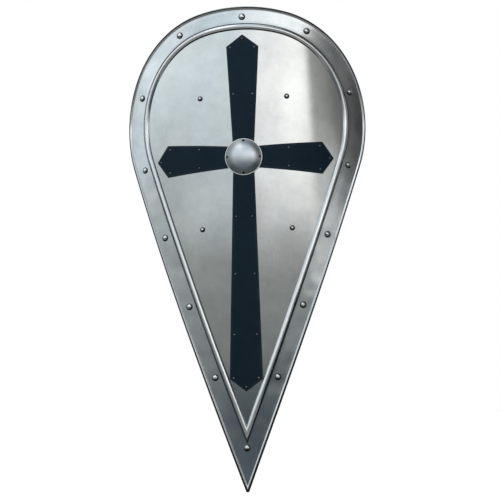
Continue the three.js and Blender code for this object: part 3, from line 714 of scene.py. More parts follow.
def rim_section():
    """Bead, land, roll, return, and back along the inside; and which points lie in its creases."""
    bead_inset = RIM_WIDTH - BEAD_WIDTH / 2
    curve = (BEAD_WIDTH ** 2 / 4 + BEAD_RISE ** 2) / (2 * BEAD_RISE)
    bead_lift = GAP + BEAD_RISE - curve
    rise = RIM_TOP + FILLET - bead_lift
    reach = math.sqrt((curve + FILLET) ** 2 - rise ** 2)
    lean = math.atan2(rise, -reach)
    section = section_arc(bead_inset, bead_lift, curve, math.acos(BEAD_WIDTH / 2 / curve), lean)
    creases = [0, len(section)]
    foot = bead_inset - reach
    section += section_arc(foot, RIM_TOP + FILLET, FILLET, lean - math.pi, -math.pi / 2)
    section += [(foot + (ROLL_DIAMETER - foot) * share, RIM_TOP) for share in LAND_SHARES]
    drop = RIM_TOP + CREASE - ROLL_LIFT
    gap = math.sqrt((ROLL_RADIUS + CREASE) ** 2 - drop ** 2)
    tilt = math.atan2(drop, gap)
    creases.append(len(section) + 1)
    section += section_arc(ROLL_RADIUS + gap, RIM_TOP + CREASE, CREASE,
                           -math.pi / 2, tilt - math.pi)
    behind = 1.5 * math.pi
    section += section_arc(ROLL_RADIUS, ROLL_LIFT, ROLL_RADIUS, tilt, behind)
    half = RIM_SHEET / 2
    section += [(RETURN_INSET - half, RETURN_FRONT - RIM_SHEET),
                (RETURN_INSET, RETURN_FRONT - half), (RETURN_INSET - half, RETURN_FRONT)]
    bore_end = math.asin((GAP - ROLL_LIFT) / BORE_RADIUS)
    section += section_arc(ROLL_RADIUS, ROLL_LIFT, BORE_RADIUS, behind, bore_end)
    return section, creases


rim_points, rim_creases = rim_section()
print("the rim's section has", len(rim_points), "points")

# %% [markdown]
# The land between roll and bead grows where the kite is wide. The lines of painted shade and
# painted highlight follow the section's corners, so their places are read off the walk along it.

# %% Skin the section round the kite and bend it
RIM_FLARE = 6 * MM
FLARE_START = 60 * MM
ROLL_FRONT_TURN = math.radians(88)


def flared(across, inset):
    """The strip's land grows where the kite is wide, and takes the bead with it."""
    side = max(0, abs(across) - FLARE_START) / (HALF_WIDTH - RIM_WIDTH - FLARE_START)
    share = (inset - RETURN_INSET) / (RIM_WIDTH - BEAD_WIDTH - RETURN_INSET)
    return across - math.copysign(RIM_FLARE * side * max(0, min(1, share)), across)


rim_walk = walks(rim_points)
bead_base, bead_foot, roll_foot = (rim_walk[index] for index in rim_creases)
# Painted highlights on the bead's crest and on the roll next to its crease; painted shade at the
# bead's base and foot, in the crease beside the roll, and on the roll's outer side.
RIM_PAINTED_LINES = (
    (bead_foot - 7.4 * MM, 4.6 * MM, 0.8, PAINTED_HIGHLIGHT, 0.7),
    (roll_foot + 1.2 * MM, 2.4 * MM, 0.8, PAINTED_HIGHLIGHT, 0.7),
    (bead_base, 1.6 * MM, 0.2, PAINTED_SHADE, 1),
    (bead_foot, 2.4 * MM, 0.95, PAINTED_SHADE, 1),
    (roll_foot - 0.6 * MM, 1.2 * MM, 0.3, PAINTED_SHADE, 1),
    (roll_foot + ROLL_RADIUS * ROLL_FRONT_TURN, 2.6 * MM, 1.0, PAINTED_SHADE, 1),
)
RIM_STEEL = steel("rim_steel", light=(0.76, 0.78, 0.79), dark=(0.60, 0.63, 0.65),
                  gloss=(0.12, 0.21), grain=ALONG_GRAIN, wave=(18, 0.0012), uv_name="along",
                  lines=RIM_PAINTED_LINES)
rim_loops = [[(flared(across, inset), -lift, height) for across, height in kite_loop(inset)]
             for inset, lift in rim_points]
rim_flat = sweep("rim_strip_flat", list(zip(*rim_loops)), RIM_STEEL, closed=True)
rim = bend_onto_sheet("rim_strip", rim_flat, RIM_STEEL)
hand_over(rim, "shield", ["rim_band"])

# %% [markdown]
# ## Rivets
# The rim has fourteen big round heads, the straps hang on four smaller ones, and the boss has four
# tiny ones. A rivet is turned once on a lathe, head and clenched tail together, and a node tree
# sets a copy on every point of a small mesh. The points and their directions come from the frame's
# own rivets. Hammered heads are never quite alike, so each copy gets a seeded turn and a slight
# change of size.

# %% Turn a rivet
TURNING_SIDES = 40
HEAD_STEPS = 12
LIP_SHARE = 0.12
TAIL_SHARES = (0.9, 0.7, 0.4, 0.0)
TAIL_DROOP = 0.3

# Head radius, dome, shank radius, tail radius and tail height, in millimetres.
RIVETS = {
    "rim": (7, 4.2, 2.6, 4, 1.8),
    "strap": (5.5, 3.4, 2.3, 4.6, 1.5),
    "boss": (2.6, 1.5, 1.4, 2.4, 1),
    "tack": (2.1, 1.2, 0.9, 1.6, 0.7),
}


def turned(name, profile, material, sides=TURNING_SIDES):
    """A lathe shape about -Y from (radius, lift) points that start and end on the axis."""
    rings = [[(r * math.cos(a), -lift, r * math.sin(a)) for r, lift in profile]
             for a in full_turn(sides)]
    return sweep(name, rings, material, closed=True)


def rivet_profile(kind, seat, back):
    """A domed head with a soft lip at seat, a shank, and a spread tail at back."""
    head, dome, shank, tail, tail_height = (value * MM for value in RIVETS[kind])
    cap = (head ** 2 + dome ** 2) / (2 * dome)
    spread = math.asin(min(1, head / cap))
    lip = LIP_SHARE * dome
    profile = []
    for i in range(HEAD_STEPS + 1):
        angle = spread * i / HEAD_STEPS
        drop = cap * (1 - math.cos(angle)) * (1 - LIP_SHARE)
        profile.append((cap * math.sin(angle), seat + dome - drop))
    profile += [(head, seat + lip / 2), (head - lip / 2, seat), (shank, seat), (shank, back)]
    profile += [(tail - tail_height / 3, back), (tail, back - tail_height / 3)]
    for share in TAIL_SHARES:
        profile.append((tail * share, back - tail_height * (1 - TAIL_DROOP * share ** 2)))
    return profile


print("a rivet's profile has", len(rivet_profile("rim", 0, -PLATE)), "points")


# %% [markdown]
# ### A tree that sets copies on points
# The source mesh has one vertex for each rivet, with the direction that its back looks in.

# %% Set copies on points
def looks_mesh(name, places, edges=()):
    """A mesh of (point, direction) pairs, with the directions stored as "looks"."""
    mesh = mesh_of(name, [point for point, looks in places], [], edges=edges)
    mark_points(mesh, "looks", "FLOAT_VECTOR", [value for _, looks in places for value in looks])
    return linked(name, mesh)


def copy_and_looks(tree, given):
    """The geometry to be copied, as an instance, and the stored directions."""
    settings = {"Object": given["Copy"], "As Instance": True}
    item = add(tree, "GeometryNodeObjectInfo", settings)["Geometry"]
    looks = add(tree, "GeometryNodeInputNamedAttribute", {"Name": "looks"},
                data_type="FLOAT_VECTOR")["Attribute"]
    return item, looks


def place_copies(tree, points, item, settings, finish, out):
    """Ends a tree with an instance on each point."""
    settings = {"Points": points, "Instance": item, **settings}
    placed = add(tree, "GeometryNodeInstanceOnPoints", settings)
    end_tree(tree, placed[0], finish, out)


def setting_tree():
    """Copies of an object on points, turned to their directions, with a seeded turn and size."""
    tree, given, out = new_tree("set_on_points", {
        "Copy": "Object", "Size Swing": "Float", "Seed": "Int", "Finish": "Material"})
    item, looks = copy_and_looks(tree, given)
    aligned = add(tree, "FunctionNodeAlignRotationToVector", {"Vector": looks}, axis="Y")
    spin, size = (add(tree, "FunctionNodeRandomValue", {**limits, "Seed": given["Seed"]},
                      data_type="FLOAT")[1]
                  for limits in (
                      {"Min": 0.0, "Max": 2 * math.pi},
                      {"Min": sums(tree, "SUBTRACT", 1.0, given["Size Swing"]), "Max": 1.0}))
    settings = {"Axis": (0, 1, 0), "Angle": spin}
    spun = add(tree, "FunctionNodeAxisAngleToRotation", settings)[0]
    rotation = add(tree, "FunctionNodeRotateRotation", {
        "Rotation": aligned[0], "Rotate By": spun,
    }, rotation_space="LOCAL")[0]
    place_copies(tree, given["Geometry"], item, {"Rotation": rotation, "Scale": size},
                 given["Finish"], out)
    return tree


SETTER = setting_tree()
print("tree:", SETTER.name)

# %% [markdown]
# A row of rivets is then one call: which rivet, at which nodes, and between which two levels.

# %% Set a row of rivets
def place_of(node):
    """Where a rivet's axis meets the plate's front, and the direction from front to back."""
    low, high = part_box(node)
    middle = (low + high) / 2
    inwards = Vector((-middle.x, BEND_Y - middle.y, 0)).normalized()
    return Vector((0, BEND_Y, middle.z)) - BEND_RADIUS * inwards, inwards


def numbered(stem, count):
    """The names of a row of numbered nodes."""
    return [f"{stem}_{i + 1}" for i in range(count)]


def rivet_row(name, kind, nodes, levels, material, swing, seed, sides=TURNING_SIDES):
    """Turns one rivet between two levels and sets it in place of each named node."""
    copy = turned(name + "_copy", rivet_profile(kind, *levels), material, sides)
    row = run_tree(name, looks_mesh(name, [place_of(node) for node in nodes]), SETTER, {
        "Copy": copy, "Size Swing": swing, "Seed": seed, "Finish": material,
    })
    bpy.data.objects.remove(copy)
    hand_over(row, "shield", nodes)


print("the first rivet stands at", [round(value, 3) for value in place_of("rim_rivet_1")[0]])


# %% Set the rim and strap rivets
# Where a rivet head's ring of painted shade sits, and how wide its painted highlight is.
FOOT_SHARE = 1.03
HIGHLIGHT_SHARE = 0.6
GRIP_THICKNESS = 3.5 * MM
ARM_THICKNESS = 3 * MM


def rivet_steel(kind, light, dark, gloss, ring):
    """Bright steel with a ring of painted shade, in millimetres, where the head meets the sheet,
    and a painted highlight on its top.
    """
    head, dome = RIVETS[kind][:2]
    foot = math.hypot(head, dome) * FOOT_SHARE
    # The ring at the foot is painted shade; the spot on the dome's top is a painted highlight.
    lines = ((foot * MM, ring * MM, 1.0, PAINTED_SHADE, 1), (0, HIGHLIGHT_SHARE * head * MM, 0.8, PAINTED_HIGHLIGHT, 1))
    return steel(kind + "_rivet_steel", light, dark, gloss, EVEN_GRAIN, wave=(60, 0.0002),
                 uv_name="along", lines=lines)


RIM_RIVET_STEEL = rivet_steel("rim", light=(0.86, 0.87, 0.88), dark=(0.74, 0.76, 0.77),
                              gloss=(0.07, 0.14), ring=5.2)
STRAP_RIVET_STEEL = rivet_steel("strap", light=(0.80, 0.81, 0.82), dark=(0.60, 0.61, 0.62),
                                gloss=(0.08, 0.16), ring=7)
rivet_row("rim_rivets", "rim", numbered("rim_rivet", 14), (RIM_TOP, -PLATE),
          RIM_RIVET_STEEL, swing=0.04, seed=3)
for label, thickness in (("hand_grip", GRIP_THICKNESS), ("arm_strap", ARM_THICKNESS)):
    rivet_row(label + "_rivets", "strap", [f"{label}_rivet_left", f"{label}_rivet_right"],
              (0.0, -PLATE - GAP - thickness), STRAP_RIVET_STEEL,
              swing=0.02, seed=5)

# %% [markdown]
# ## The cross
# The cross is one piece of thin leather with flared arms and pointed ends. It is drawn flat as a
# polygon and given its thickness, its cut edges are rounded off, and straight cuts divide it into a
# fine mesh, so that it can bend. Near the tacks the leather is drawn down a little.

# %% Draw the cross
CROSS_DROP = 78 * MM
CROSS_ROOT = 43 * MM
CROSS_FLARE = 66 * MM
CROSS_POINT = 25 * MM
CROSS_GAP_UP = 10 * MM
CROSS_GAP_SIDE = 14 * MM
CROSS_GAP_DOWN = 0.6 * MM
CROSS_HEIGHT = WIDEST - CROSS_DROP


def right_edge(inset, axis, value):
    """Where an inset outline meets a line: its other coordinate there."""
    half = list(reversed(kite_half(inset)))
    i = next(k for k, point in enumerate(half) if point[axis] > value)
    share = (value - half[i - 1][axis]) / (half[i][axis] - half[i - 1][axis])
    return half[i - 1][1 - axis] + (half[i][1 - axis] - half[i - 1][1 - axis]) * share


def cross_outline():
    """The cross's corners on the flat sheet."""
    up = KITE_HEIGHT - RIM_WIDTH - CROSS_GAP_UP - CROSS_HEIGHT
    side = right_edge(RIM_WIDTH, 1, CROSS_HEIGHT) - CROSS_GAP_SIDE
    down_shoulder = right_edge(RIM_WIDTH, 0, CROSS_FLARE / 2 + CROSS_GAP_DOWN)
    down = CROSS_HEIGHT - down_shoulder + CROSS_POINT
    corners = []
    for (x, z), length in (((0, 1), up), ((1, 0), side), ((0, -1), down), ((-1, 0), side)):
        shoulder = length - CROSS_POINT
        for along, aside in ((CROSS_ROOT / 2, -CROSS_ROOT / 2), (shoulder, -CROSS_FLARE / 2),
                             (length, 0), (shoulder, CROSS_FLARE / 2)):
            corners.append((along * x + aside * z, CROSS_HEIGHT + along * z - aside * x))
    return corners


cross_corners = cross_outline()
print("the cross has", len(cross_corners), "corners")

# %% Cut flat leather
CROSS_EDGE = 0.45 * MM
CROSS_CELL = 4 * MM


def slab(corners, low_y, high_y):
    """A polygon of (x, z) corners with thickness, as a bmesh."""
    work = bmesh.new()
    face = work.faces.new([work.verts.new((x, low_y, z)) for x, z in corners])
    made = bmesh.ops.extrude_face_region(work, geom=[face])
    moved = [item for item in made["geom"] if isinstance(item, bmesh.types.BMVert)]
    bmesh.ops.translate(work, verts=moved, vec=(0, high_y - low_y, 0))
    bmesh.ops.recalc_face_normals(work, faces=work.faces)
    return work


def flat_leather(name, corners, low_lift, high_lift, material):
    """A polygon of leather with rounded cut edges and a fine mesh."""
    work = slab(corners, -high_lift, -low_lift)
    rims = [e for e in work.edges if abs(e.verts[0].co.y - e.verts[1].co.y) < CLOSE_GAP]
    bmesh.ops.bevel(work, geom=rims, offset=CROSS_EDGE, segments=3, affect="EDGES", profile=0.5)
    for axis, normal in ((0, (1, 0, 0)), (2, (0, 0, 1))):
        low = min(v.co[axis] for v in work.verts)
        high = max(v.co[axis] for v in work.verts)
        steps = math.ceil((high - low) / CROSS_CELL)
        for i in range(1, steps):
            spot = [0, 0, 0]
            spot[axis] = low + (high - low) * i / steps
            geometry = work.verts[:] + work.edges[:] + work.faces[:]
            bmesh.ops.bisect_plane(work, geom=geometry, plane_co=spot, plane_no=normal)
    return finished(name, close_work(work, name), material)


CROSS_TOP = GAP + 1.6 * MM
cross_flat = flat_leather("cross_flat", cross_corners, GAP, CROSS_TOP, CROSS_LEATHER)
print("the flat cross has", len(cross_flat.data.vertices), "points")

# %% [markdown]
# Flat, it is easy to measure how far a point is from a cut edge, which is worn, and from a tack,
# which presses the leather down. Only then is the cross bent.

# %% Wear, press and bend the cross
WORN_WIDTH = 4 * MM
DIMPLE_WIDTH = 5 * MM
DIMPLE_DEPTH = 0.3 * MM


def edge_distance(x, z, corners):
    """How far a flat point lies from the nearest side of a polygon."""
    nearest = math.inf
    for (ax, az), (bx, bz) in zip(corners, corners[1:] + corners[:1]):
        run = (bx - ax) ** 2 + (bz - az) ** 2
        share = max(0, min(1, ((x - ax) * (bx - ax) + (z - az) * (bz - az)) / run))
        nearest = min(nearest, math.hypot(x - ax - share * (bx - ax), z - az - share * (bz - az)))
    return nearest


def mark_edges(piece, values):
    """Stores how near each point is to a cut edge, 1 at the edge, for the worn tone."""
    mark_points(piece.data, "edge", "FLOAT", values)


def unbent(node):
    """The flat (across, height) place of a rivet's node."""
    foot, _ = place_of(node)
    return math.atan2(foot.x, BEND_Y - foot.y) * BEND_RADIUS, foot.z - TIP_Z


TACKS = numbered("cross_tack", 24)
tack_feet = [unbent(node) for node in TACKS]
nearness = []
for vertex in cross_flat.data.vertices:
    x, y, z = vertex.co
    nearness.append(math.exp(-edge_distance(x, z, cross_corners) / WORN_WIDTH))
    from_tack = min(math.hypot(x - across, z - height) for across, height in tack_feet)
    if y < -(GAP + CROSS_TOP) / 2:
        vertex.co.y += DIMPLE_DEPTH * math.exp(-(from_tack / DIMPLE_WIDTH) ** 2)
mark_edges(cross_flat, nearness)
cross = bend_onto_sheet("leather_cross", cross_flat, CROSS_LEATHER)
hand_over(cross, "shield", ["cross"])
rivet_row("cross_tacks", "tack", TACKS, (CROSS_TOP, -PLATE), TACK_STEEL,
          swing=0.08, seed=11, sides=16)

# %% [markdown]
# ## The boss
# The boss is a disc of sheet steel, dished to a very shallow dome that runs out in a narrow lip. It
# is turned flat, so that the lathe needs only one profile, and then bent with the sheet, so that
# its lip lies on the cross all round. Its dome gets painted shade towards the lip and in the
# crease where the lip starts, and a painted highlight on the lip itself.

# %% Dish the boss
BOSS_SHEET = 1.2 * MM
BOSS_SEAT = CROSS_TOP + GAP
BOSS_RADIUS = 37.5 * MM
BOSS_LIP = 2.5 * MM
BOSS_DOME = 8 * MM
DISH_RADIUS = BOSS_RADIUS - BOSS_LIP
CAP_RADIUS = (DISH_RADIUS ** 2 + BOSS_DOME ** 2) / (2 * BOSS_DOME)
BOSS_RINGS = 40
BOSS_SIDES = 120
LIP_ROUND = 0.5 * MM
BOSS_RIVET_RADIUS = 32.5 * MM


def dome_rise(distance):
    """The dome's height over its lip, eased where the two meet."""
    if distance >= DISH_RADIUS:
        return 0.0
    rise = BOSS_DOME - CAP_RADIUS + math.sqrt(CAP_RADIUS ** 2 - distance ** 2)
    return math.sqrt(rise ** 2 + LIP_ROUND ** 2) - LIP_ROUND * (1 - distance / DISH_RADIUS)


def boss_profile():
    """Outer face, rounded edge and inner face, from the axis out and back."""
    half = BOSS_SHEET / 2
    outer = []
    for i in range(BOSS_RINGS):
        distance = BOSS_RADIUS * (i / BOSS_RINGS)
        if distance < BOSS_RADIUS - half:
            outer.append((distance, BOSS_SEAT + BOSS_SHEET + dome_rise(distance)))
    inner = [(distance, lift - BOSS_SHEET) for distance, lift in reversed(outer)]
    quarter = math.pi / 2
    edge = section_arc(BOSS_RADIUS - half, BOSS_SEAT + half, half, quarter, -quarter)
    return outer + edge + inner


boss_section = boss_profile()
lip_start = next(walk for walk, (distance, _) in zip(walks(boss_section), boss_section)
                 if distance > DISH_RADIUS)
# Painted shade towards the lip and in the crease before it, and a painted highlight on the lip.
BOSS_PAINTED_LINES = (
    (lip_start, 18 * MM, 0.6, PAINTED_SHADE, 1),
    (lip_start + BOSS_LIP, 2.7 * MM, 1.0, PAINTED_HIGHLIGHT, 0.2),
    (lip_start - 0.6 * MM, 1.2 * MM, 0.3, PAINTED_SHADE, 1),
)
BOSS_STEEL = steel("boss_steel", light=(0.86, 0.885, 0.915), dark=(0.64, 0.66, 0.675),
                   gloss=(0.28, 0.40), grain=EVEN_GRAIN, wave=(30, 0.0012), uv_name="along",
                   lines=BOSS_PAINTED_LINES)
boss_flat = turned("boss_flat", boss_section, BOSS_STEEL, sides=BOSS_SIDES)
boss_flat.data.transform(Matrix.Translation((0, 0, CROSS_HEIGHT)))
boss = bend_onto_sheet("boss_dome", boss_flat, BOSS_STEEL)
hand_over(boss, "shield", ["boss"])
boss_rivet_seat = BOSS_SEAT + BOSS_SHEET + dome_rise(BOSS_RIVET_RADIUS)
rivet_row("boss_rivets", "boss", numbered("boss_rivet", 4), (boss_rivet_seat, -PLATE),
          BLACK_STEEL, swing=0.05, seed=7)

# %% [markdown]
# ## The straps' centre lines
# Behind the shield hang two straps, each on one pair of rivets. Seen from above, a strap is a
# centre line of straights and turns: flat on the plate at its ends, then out, over, and back.
# Laying it with a few turtle-like moves keeps its thickness even and its length true. Positive
# turns go left.

# %% Walk along a strap
TURN_STEP = math.radians(4)


def go_straight(path, length):
    """Adds a straight to a path of (x, y, heading) stations."""
    x, y, heading = path[-1]
    path.append((x + length * math.cos(heading), y + length * math.sin(heading), heading))


def beside(station, distance):
    """The point at a distance to the left of a station."""
    x, y, heading = station
    return x - distance * math.sin(heading), y + distance * math.cos(heading)


def turn(path, radius, angle):
    """Adds a turn to a path."""
    heading = path[-1][2]
    reach = math.copysign(radius, angle)
    centre = beside(path[-1], reach)
    steps = max(1, math.ceil(abs(angle) / TURN_STEP))
    for i in range(1, steps + 1):
        now = heading + angle * i / steps
        path.append((*beside((*centre, now), -reach), now))


def wrap_angle(angle):
    """The same angle between -180 and 180 degrees."""
    return math.atan2(math.sin(angle), math.cos(angle))


def cross_over(path, first_radius, side, centre, second_radius, heading):
    """One turn, a straight and the opposite turn about a centre; returns the straight's place."""
    start = beside(path[-1], side * first_radius)
    across, away = centre[0] - start[0], centre[1] - start[1]
    reach = math.hypot(across, away)
    radii = first_radius + second_radius
    leg = math.atan2(away, across) + side * math.asin(radii / reach)
    turn(path, first_radius, wrap_angle(leg - path[-1][2]))
    place = len(path) - 1
    go_straight(path, math.sqrt(reach ** 2 - radii ** 2))
    turn(path, second_radius, wrap_angle(heading - path[-1][2]))
    return place


def mirror_path(path):
    """The path seen in a mirror across X."""
    return [(-x, y, math.pi - heading) for x, y, heading in path]


def strap_side(strap, top_level, half_top):
    """The right side of a strap, from its end on the plate up to the flat of its top."""
    radius = BEND_RADIUS - PLATE - GAP - strap["thickness"] / 2
    outer = (strap["reach"] + strap["tab"] / 2) / BEND_RADIUS
    inner = (strap["reach"] - strap["tab"] / 2) / BEND_RADIUS
    path = [(radius * math.sin(outer), BEND_RADIUS - radius * math.cos(outer), math.pi + outer)]
    turn(path, radius, inner - outer)
    centre = (half_top, top_level - strap["corner"])
    leg = cross_over(path, strap["bend"], -1, centre, strap["corner"], math.pi)
    return path, leg


print("a quarter turn takes", math.ceil(math.pi / 2 / TURN_STEP), "steps")


# %% [markdown]
# ## Leather straps as sweeps
# A strap's section is a flat rectangle whose corners have been burnished round. Its ends are cut to
# a half round. The section is carried along the centre line in close steps, and each point is
# marked with how near it lies to the strap's edges, where hands have darkened the leather.

# %% Sweep a strap along its centre line
STRAP_STEP = 2.5 * MM
BURNISH_SHARE = 0.42
BURNISH_STEPS = 4
LEAST_WIDTH = 0.12


def resample(path, step):
    """The same path with stations no further apart than a step."""
    fine = [path[0]]
    for first, second in zip(path, path[1:]):
        count = max(1, math.ceil(math.dist(first[:2], second[:2]) / step))
        turns = wrap_angle(second[2] - first[2])
        for i in range(1, count + 1):
            share = i / count
            x, y = (a + (b - a) * share for a, b in zip(first[:2], second[:2]))
            fine.append((x, y, first[2] + turns * share))
    return fine


def round_rectangle(half_a, half_b, corner, steps):
    """(a, b, outward angle) stations round a rectangle with round corners."""
    stations = []
    for a_side, b_side, start in ((1, 1, 0), (-1, 1, 90), (-1, -1, 180), (1, -1, 270)):
        for i in range(steps + 1):
            angle = math.radians(start + 90 * i / steps)
            stations.append((a_side * (half_a - corner) + corner * math.cos(angle),
                             b_side * (half_b - corner) + corner * math.sin(angle), angle))
    return stations


def strap_section(width, thickness):
    """A burnished rectangle as (across, off the centre line) points."""
    stations = round_rectangle(width / 2, thickness / 2, BURNISH_SHARE * thickness, BURNISH_STEPS)
    return [station[:2] for station in stations]


def strap_rings(path, width, thickness, round_end):
    """Rings of points along a path, drawn in to a half round at the ends that are cut so."""
    fine = resample(path, STRAP_STEP)
    lengths = walks([station[:2] for station in fine])
    rings = []
    for station, along in zip(fine, lengths):
        from_end = (lengths[-1] - along) / (width / 2) if round_end else 1
        cut = min(1, along / (width / 2), from_end)
        half = max(LEAST_WIDTH, math.sqrt(max(0, 1 - (1 - cut) ** 2)))
        rings.append([(*beside(station, off), z * half)
                      for z, off in strap_section(width, thickness)])
    return rings


def strap_piece(name, path, width, thickness, place, round_end=True):
    """A strap with its worn edges marked."""
    rings = strap_rings(path, width, thickness, round_end)
    piece = sweep(name, rings, STRAP_LEATHER, place=place)
    middle = place.translation.z
    mark_edges(piece, [math.exp((abs(v.co.z - middle) - width / 2) / WORN_WIDTH)
                       for v in piece.data.vertices])
    return piece


print("a strap's section has", len(strap_section(1, 1)), "points")


# %% [markdown]
# ### Stitches
# A saddle stitch is a row of short threads end to end, each sunk a little at its ends. The row
# follows a curve, so a node tree spaces the copies evenly by their real pitch.

# %% Sew along a curve
STITCH_PITCH = 5 * MM
STITCH_LENGTH = 3.6 * MM
STITCH_RADIUS = 0.42 * MM
STITCH_RINGS = 6
STITCH_SIDES = 8
STITCH_TAPER = 3.2
STITCH_LIFT = 0.3 * STITCH_RADIUS


def stitch_copy():
    """One thread, thickest in the middle, lying along X."""
    rings = []
    for i in range(STITCH_RINGS + 1):
        share = i / STITCH_RINGS - 0.5
        belly = STITCH_RADIUS * (1 - STITCH_TAPER * share ** 2)
        rings.append([(share * STITCH_LENGTH, belly * math.cos(a) + STITCH_LIFT,
                       belly * math.sin(a)) for a in full_turn(STITCH_SIDES)])
    return sweep("stitch_copy", rings, THREAD)


def sewing_tree():
    """Copies along a curve at a pitch, turned to its direction and its stored one."""
    tree, given, out = new_tree("sew_along", {
        "Copy": "Object", "Pitch": "Float", "Finish": "Material"})
    rows = add(tree, "GeometryNodeMeshToCurve", {"Mesh": given["Geometry"]})[0]
    line = add(tree, "GeometryNodeResampleCurve", {"Curve": rows, "Length": given["Pitch"]},
               mode="LENGTH")[0]
    item, looks = copy_and_looks(tree, given)
    tangent = add(tree, "GeometryNodeInputTangent")[0]
    along = add(tree, "FunctionNodeAlignRotationToVector", {"Vector": tangent}, axis="X")[0]
    settings = {"Rotation": along, "Vector": looks}
    upright = add(tree, "FunctionNodeAlignRotationToVector", settings, axis="Y", pivot_axis="X")
    place_copies(tree, line, item, {"Rotation": upright[0]}, given["Finish"], out)
    return tree


SEWER = sewing_tree()


def sew(name, rows, body):
    """Stitches along rows of (point, outward direction) pairs, as one piece."""
    links, start = [], 0
    for row in rows:
        links += [(i, i + 1) for i in range(start, start + len(row) - 1)]
        start += len(row)
    line = looks_mesh(name, [pair for row in rows for pair in row], links)
    copy = stitch_copy()
    seam = run_tree(name, line, SEWER, {"Copy": copy, "Pitch": STITCH_PITCH, "Finish": THREAD})
    bpy.data.objects.remove(copy)
    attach(seam, body)
    print(name, "has", len(seam.data.polygons), "faces")


def strap_row(path, z, off, place, start, end):
    """A row of sewing points on one face of a strap, between two shares of its length."""
    fine = resample(path, STRAP_STEP)
    side = math.copysign(1, off)
    row = []
    for station in fine[int(start * (len(fine) - 1)):int(end * (len(fine) - 1)) + 1]:
        looks = Vector((*beside((0, 0, station[2]), side), 0))
        row.append((place @ Vector((*beside(station, off), z)), place.to_3x3() @ looks))
    return row


# %% [markdown]
# ## The hand grip
# The upper strap is the grip: leather sewn along both edges, riveted flat to the plate and standing
# off it far enough for a fist.

# %% Make the hand grip
GRIP = {"thickness": GRIP_THICKNESS, "reach": 89 * MM, "tab": 30 * MM, "bend": 12 * MM,
        "corner": 35 * MM}
GRIP_WIDTH = 36 * MM
GRIP_HALF_TOP = 12 * MM
GRIP_RISE = 125 * MM
GRIP_ROOM = 42 * MM
SEAM_INSET = 4 * MM
SEAM_START, SEAM_END = 0.13, 0.87
grip_place = sheet_place(0, CROSS_HEIGHT + GRIP_RISE)
grip_half, _ = strap_side(GRIP, PLATE + GRIP_ROOM + GRIP_THICKNESS / 2, GRIP_HALF_TOP)
grip_path = grip_half + [(x, y, heading + math.pi)
                         for x, y, heading in reversed(mirror_path(grip_half))]
grip = strap_piece("hand_grip_strap", grip_path, GRIP_WIDTH, GRIP_THICKNESS, grip_place)
hand_over(grip, "shield", ["hand_grip"])
grip_seams = [
    strap_row(grip_path, z_side * (GRIP_WIDTH / 2 - SEAM_INSET), off_side * GRIP_THICKNESS / 2,
              grip_place, SEAM_START, SEAM_END)
    for z_side in (-1, 1) for off_side in (-1, 1)
]
sew("hand_grip_stitches", grip_seams, "shield")

# %% [markdown]
# ## The arm strap
# The lower strap has two halves. The short one is folded round the buckle's heel bar and sewn to
# itself. The long one passes under the roller, up through the frame, over the heel bar and down
# again on top of the short half, where a keeper holds its end.

# %% Lay the arm strap's two halves
ARM = {"thickness": ARM_THICKNESS, "reach": 91 * MM, "tab": 30 * MM, "bend": 14 * MM,
       "corner": 25 * MM}
ARM_WIDTH = 30 * MM
ARM_ROOM = 80 * MM
ARM_OFFSET = 5 * MM
ARM_RISE = -145 * MM
ARM_TAIL = 30 * MM
BAR_RADIUS = 2 * MM
BORE = BAR_RADIUS + GAP
BUCKLE_HALF = 14 * MM
ROLLER_RADIUS = BORE + 0.9 * MM
FOLD_LENGTH = 18 * MM
FOLD_LEAD = 2 * MM
FOLD_SETTLE = 12 * MM
FOLD_RADIUS = 8 * MM

long_top = PLATE + ARM_ROOM + ARM_THICKNESS / 2
buckle_level = long_top + ARM_THICKNESS / 2 + GAP + ROLLER_RADIUS
short_top = buckle_level + ARM_THICKNESS / 2
eye_radius = BORE + ARM_THICKNESS
over_level = buckle_level + eye_radius + GAP + ARM_THICKNESS / 2
rest_level = short_top + ARM_THICKNESS + GAP
left_corner = BUCKLE_HALF + FOLD_LENGTH + FOLD_LEAD
arm_place = sheet_place(ARM_OFFSET, CROSS_HEIGHT + ARM_RISE)
front_bar = (BUCKLE_HALF, buckle_level)
heel_bar = (-BUCKLE_HALF, buckle_level)

right_of_left, leg_place = strap_side(ARM, short_top, left_corner)
left_path = mirror_path(right_of_left)
leg_start, leg_end = left_path[leg_place], left_path[leg_place + 1]


def short_half_path():
    """From the left rivet to the heel bar, once round it, and back under itself."""
    path = list(left_path)
    go_straight(path, left_corner - BUCKLE_HALF)
    turn(path, eye_radius - ARM_THICKNESS / 2, -math.pi)
    go_straight(path, FOLD_LENGTH)
    return path


def long_half_path():
    """From the right rivet under the roller, over the heel bar and down on the short half."""
    path, _ = strap_side(ARM, long_top, BUCKLE_HALF + FOLD_LEAD)
    go_straight(path, path[-1][0] - BUCKLE_HALF + FOLD_LEAD)
    over = (-BUCKLE_HALF, over_level - FOLD_RADIUS)
    rest = (-BUCKLE_HALF - FOLD_SETTLE, rest_level + FOLD_RADIUS)
    for side, centre in ((-1, over), (1, rest)):
        cross_over(path, FOLD_RADIUS, side, centre, FOLD_RADIUS, math.pi)
    go_straight(path, path[-1][0] + left_corner)
    turn(path, ARM["corner"] + ARM_THICKNESS + GAP, wrap_angle(leg_start[2]))
    go_straight(path, ARM_TAIL)
    return path


print("the leg that carries the keeper is", round((leg_end[1] - leg_start[1]) / MM), "mm tall")

# %% Make the arm strap's two halves
PRONG_WIDTH = 3 * MM
HOLE_SIDE = 0.6 * MM
HOLE_LENGTH = 13 * MM
HOLE_CENTRE = 8 * MM
SLOT_REACH = 5.2 * MM
SLOT_HALF = PRONG_WIDTH / 2 + HOLE_SIDE
SLOT_STEPS = 8


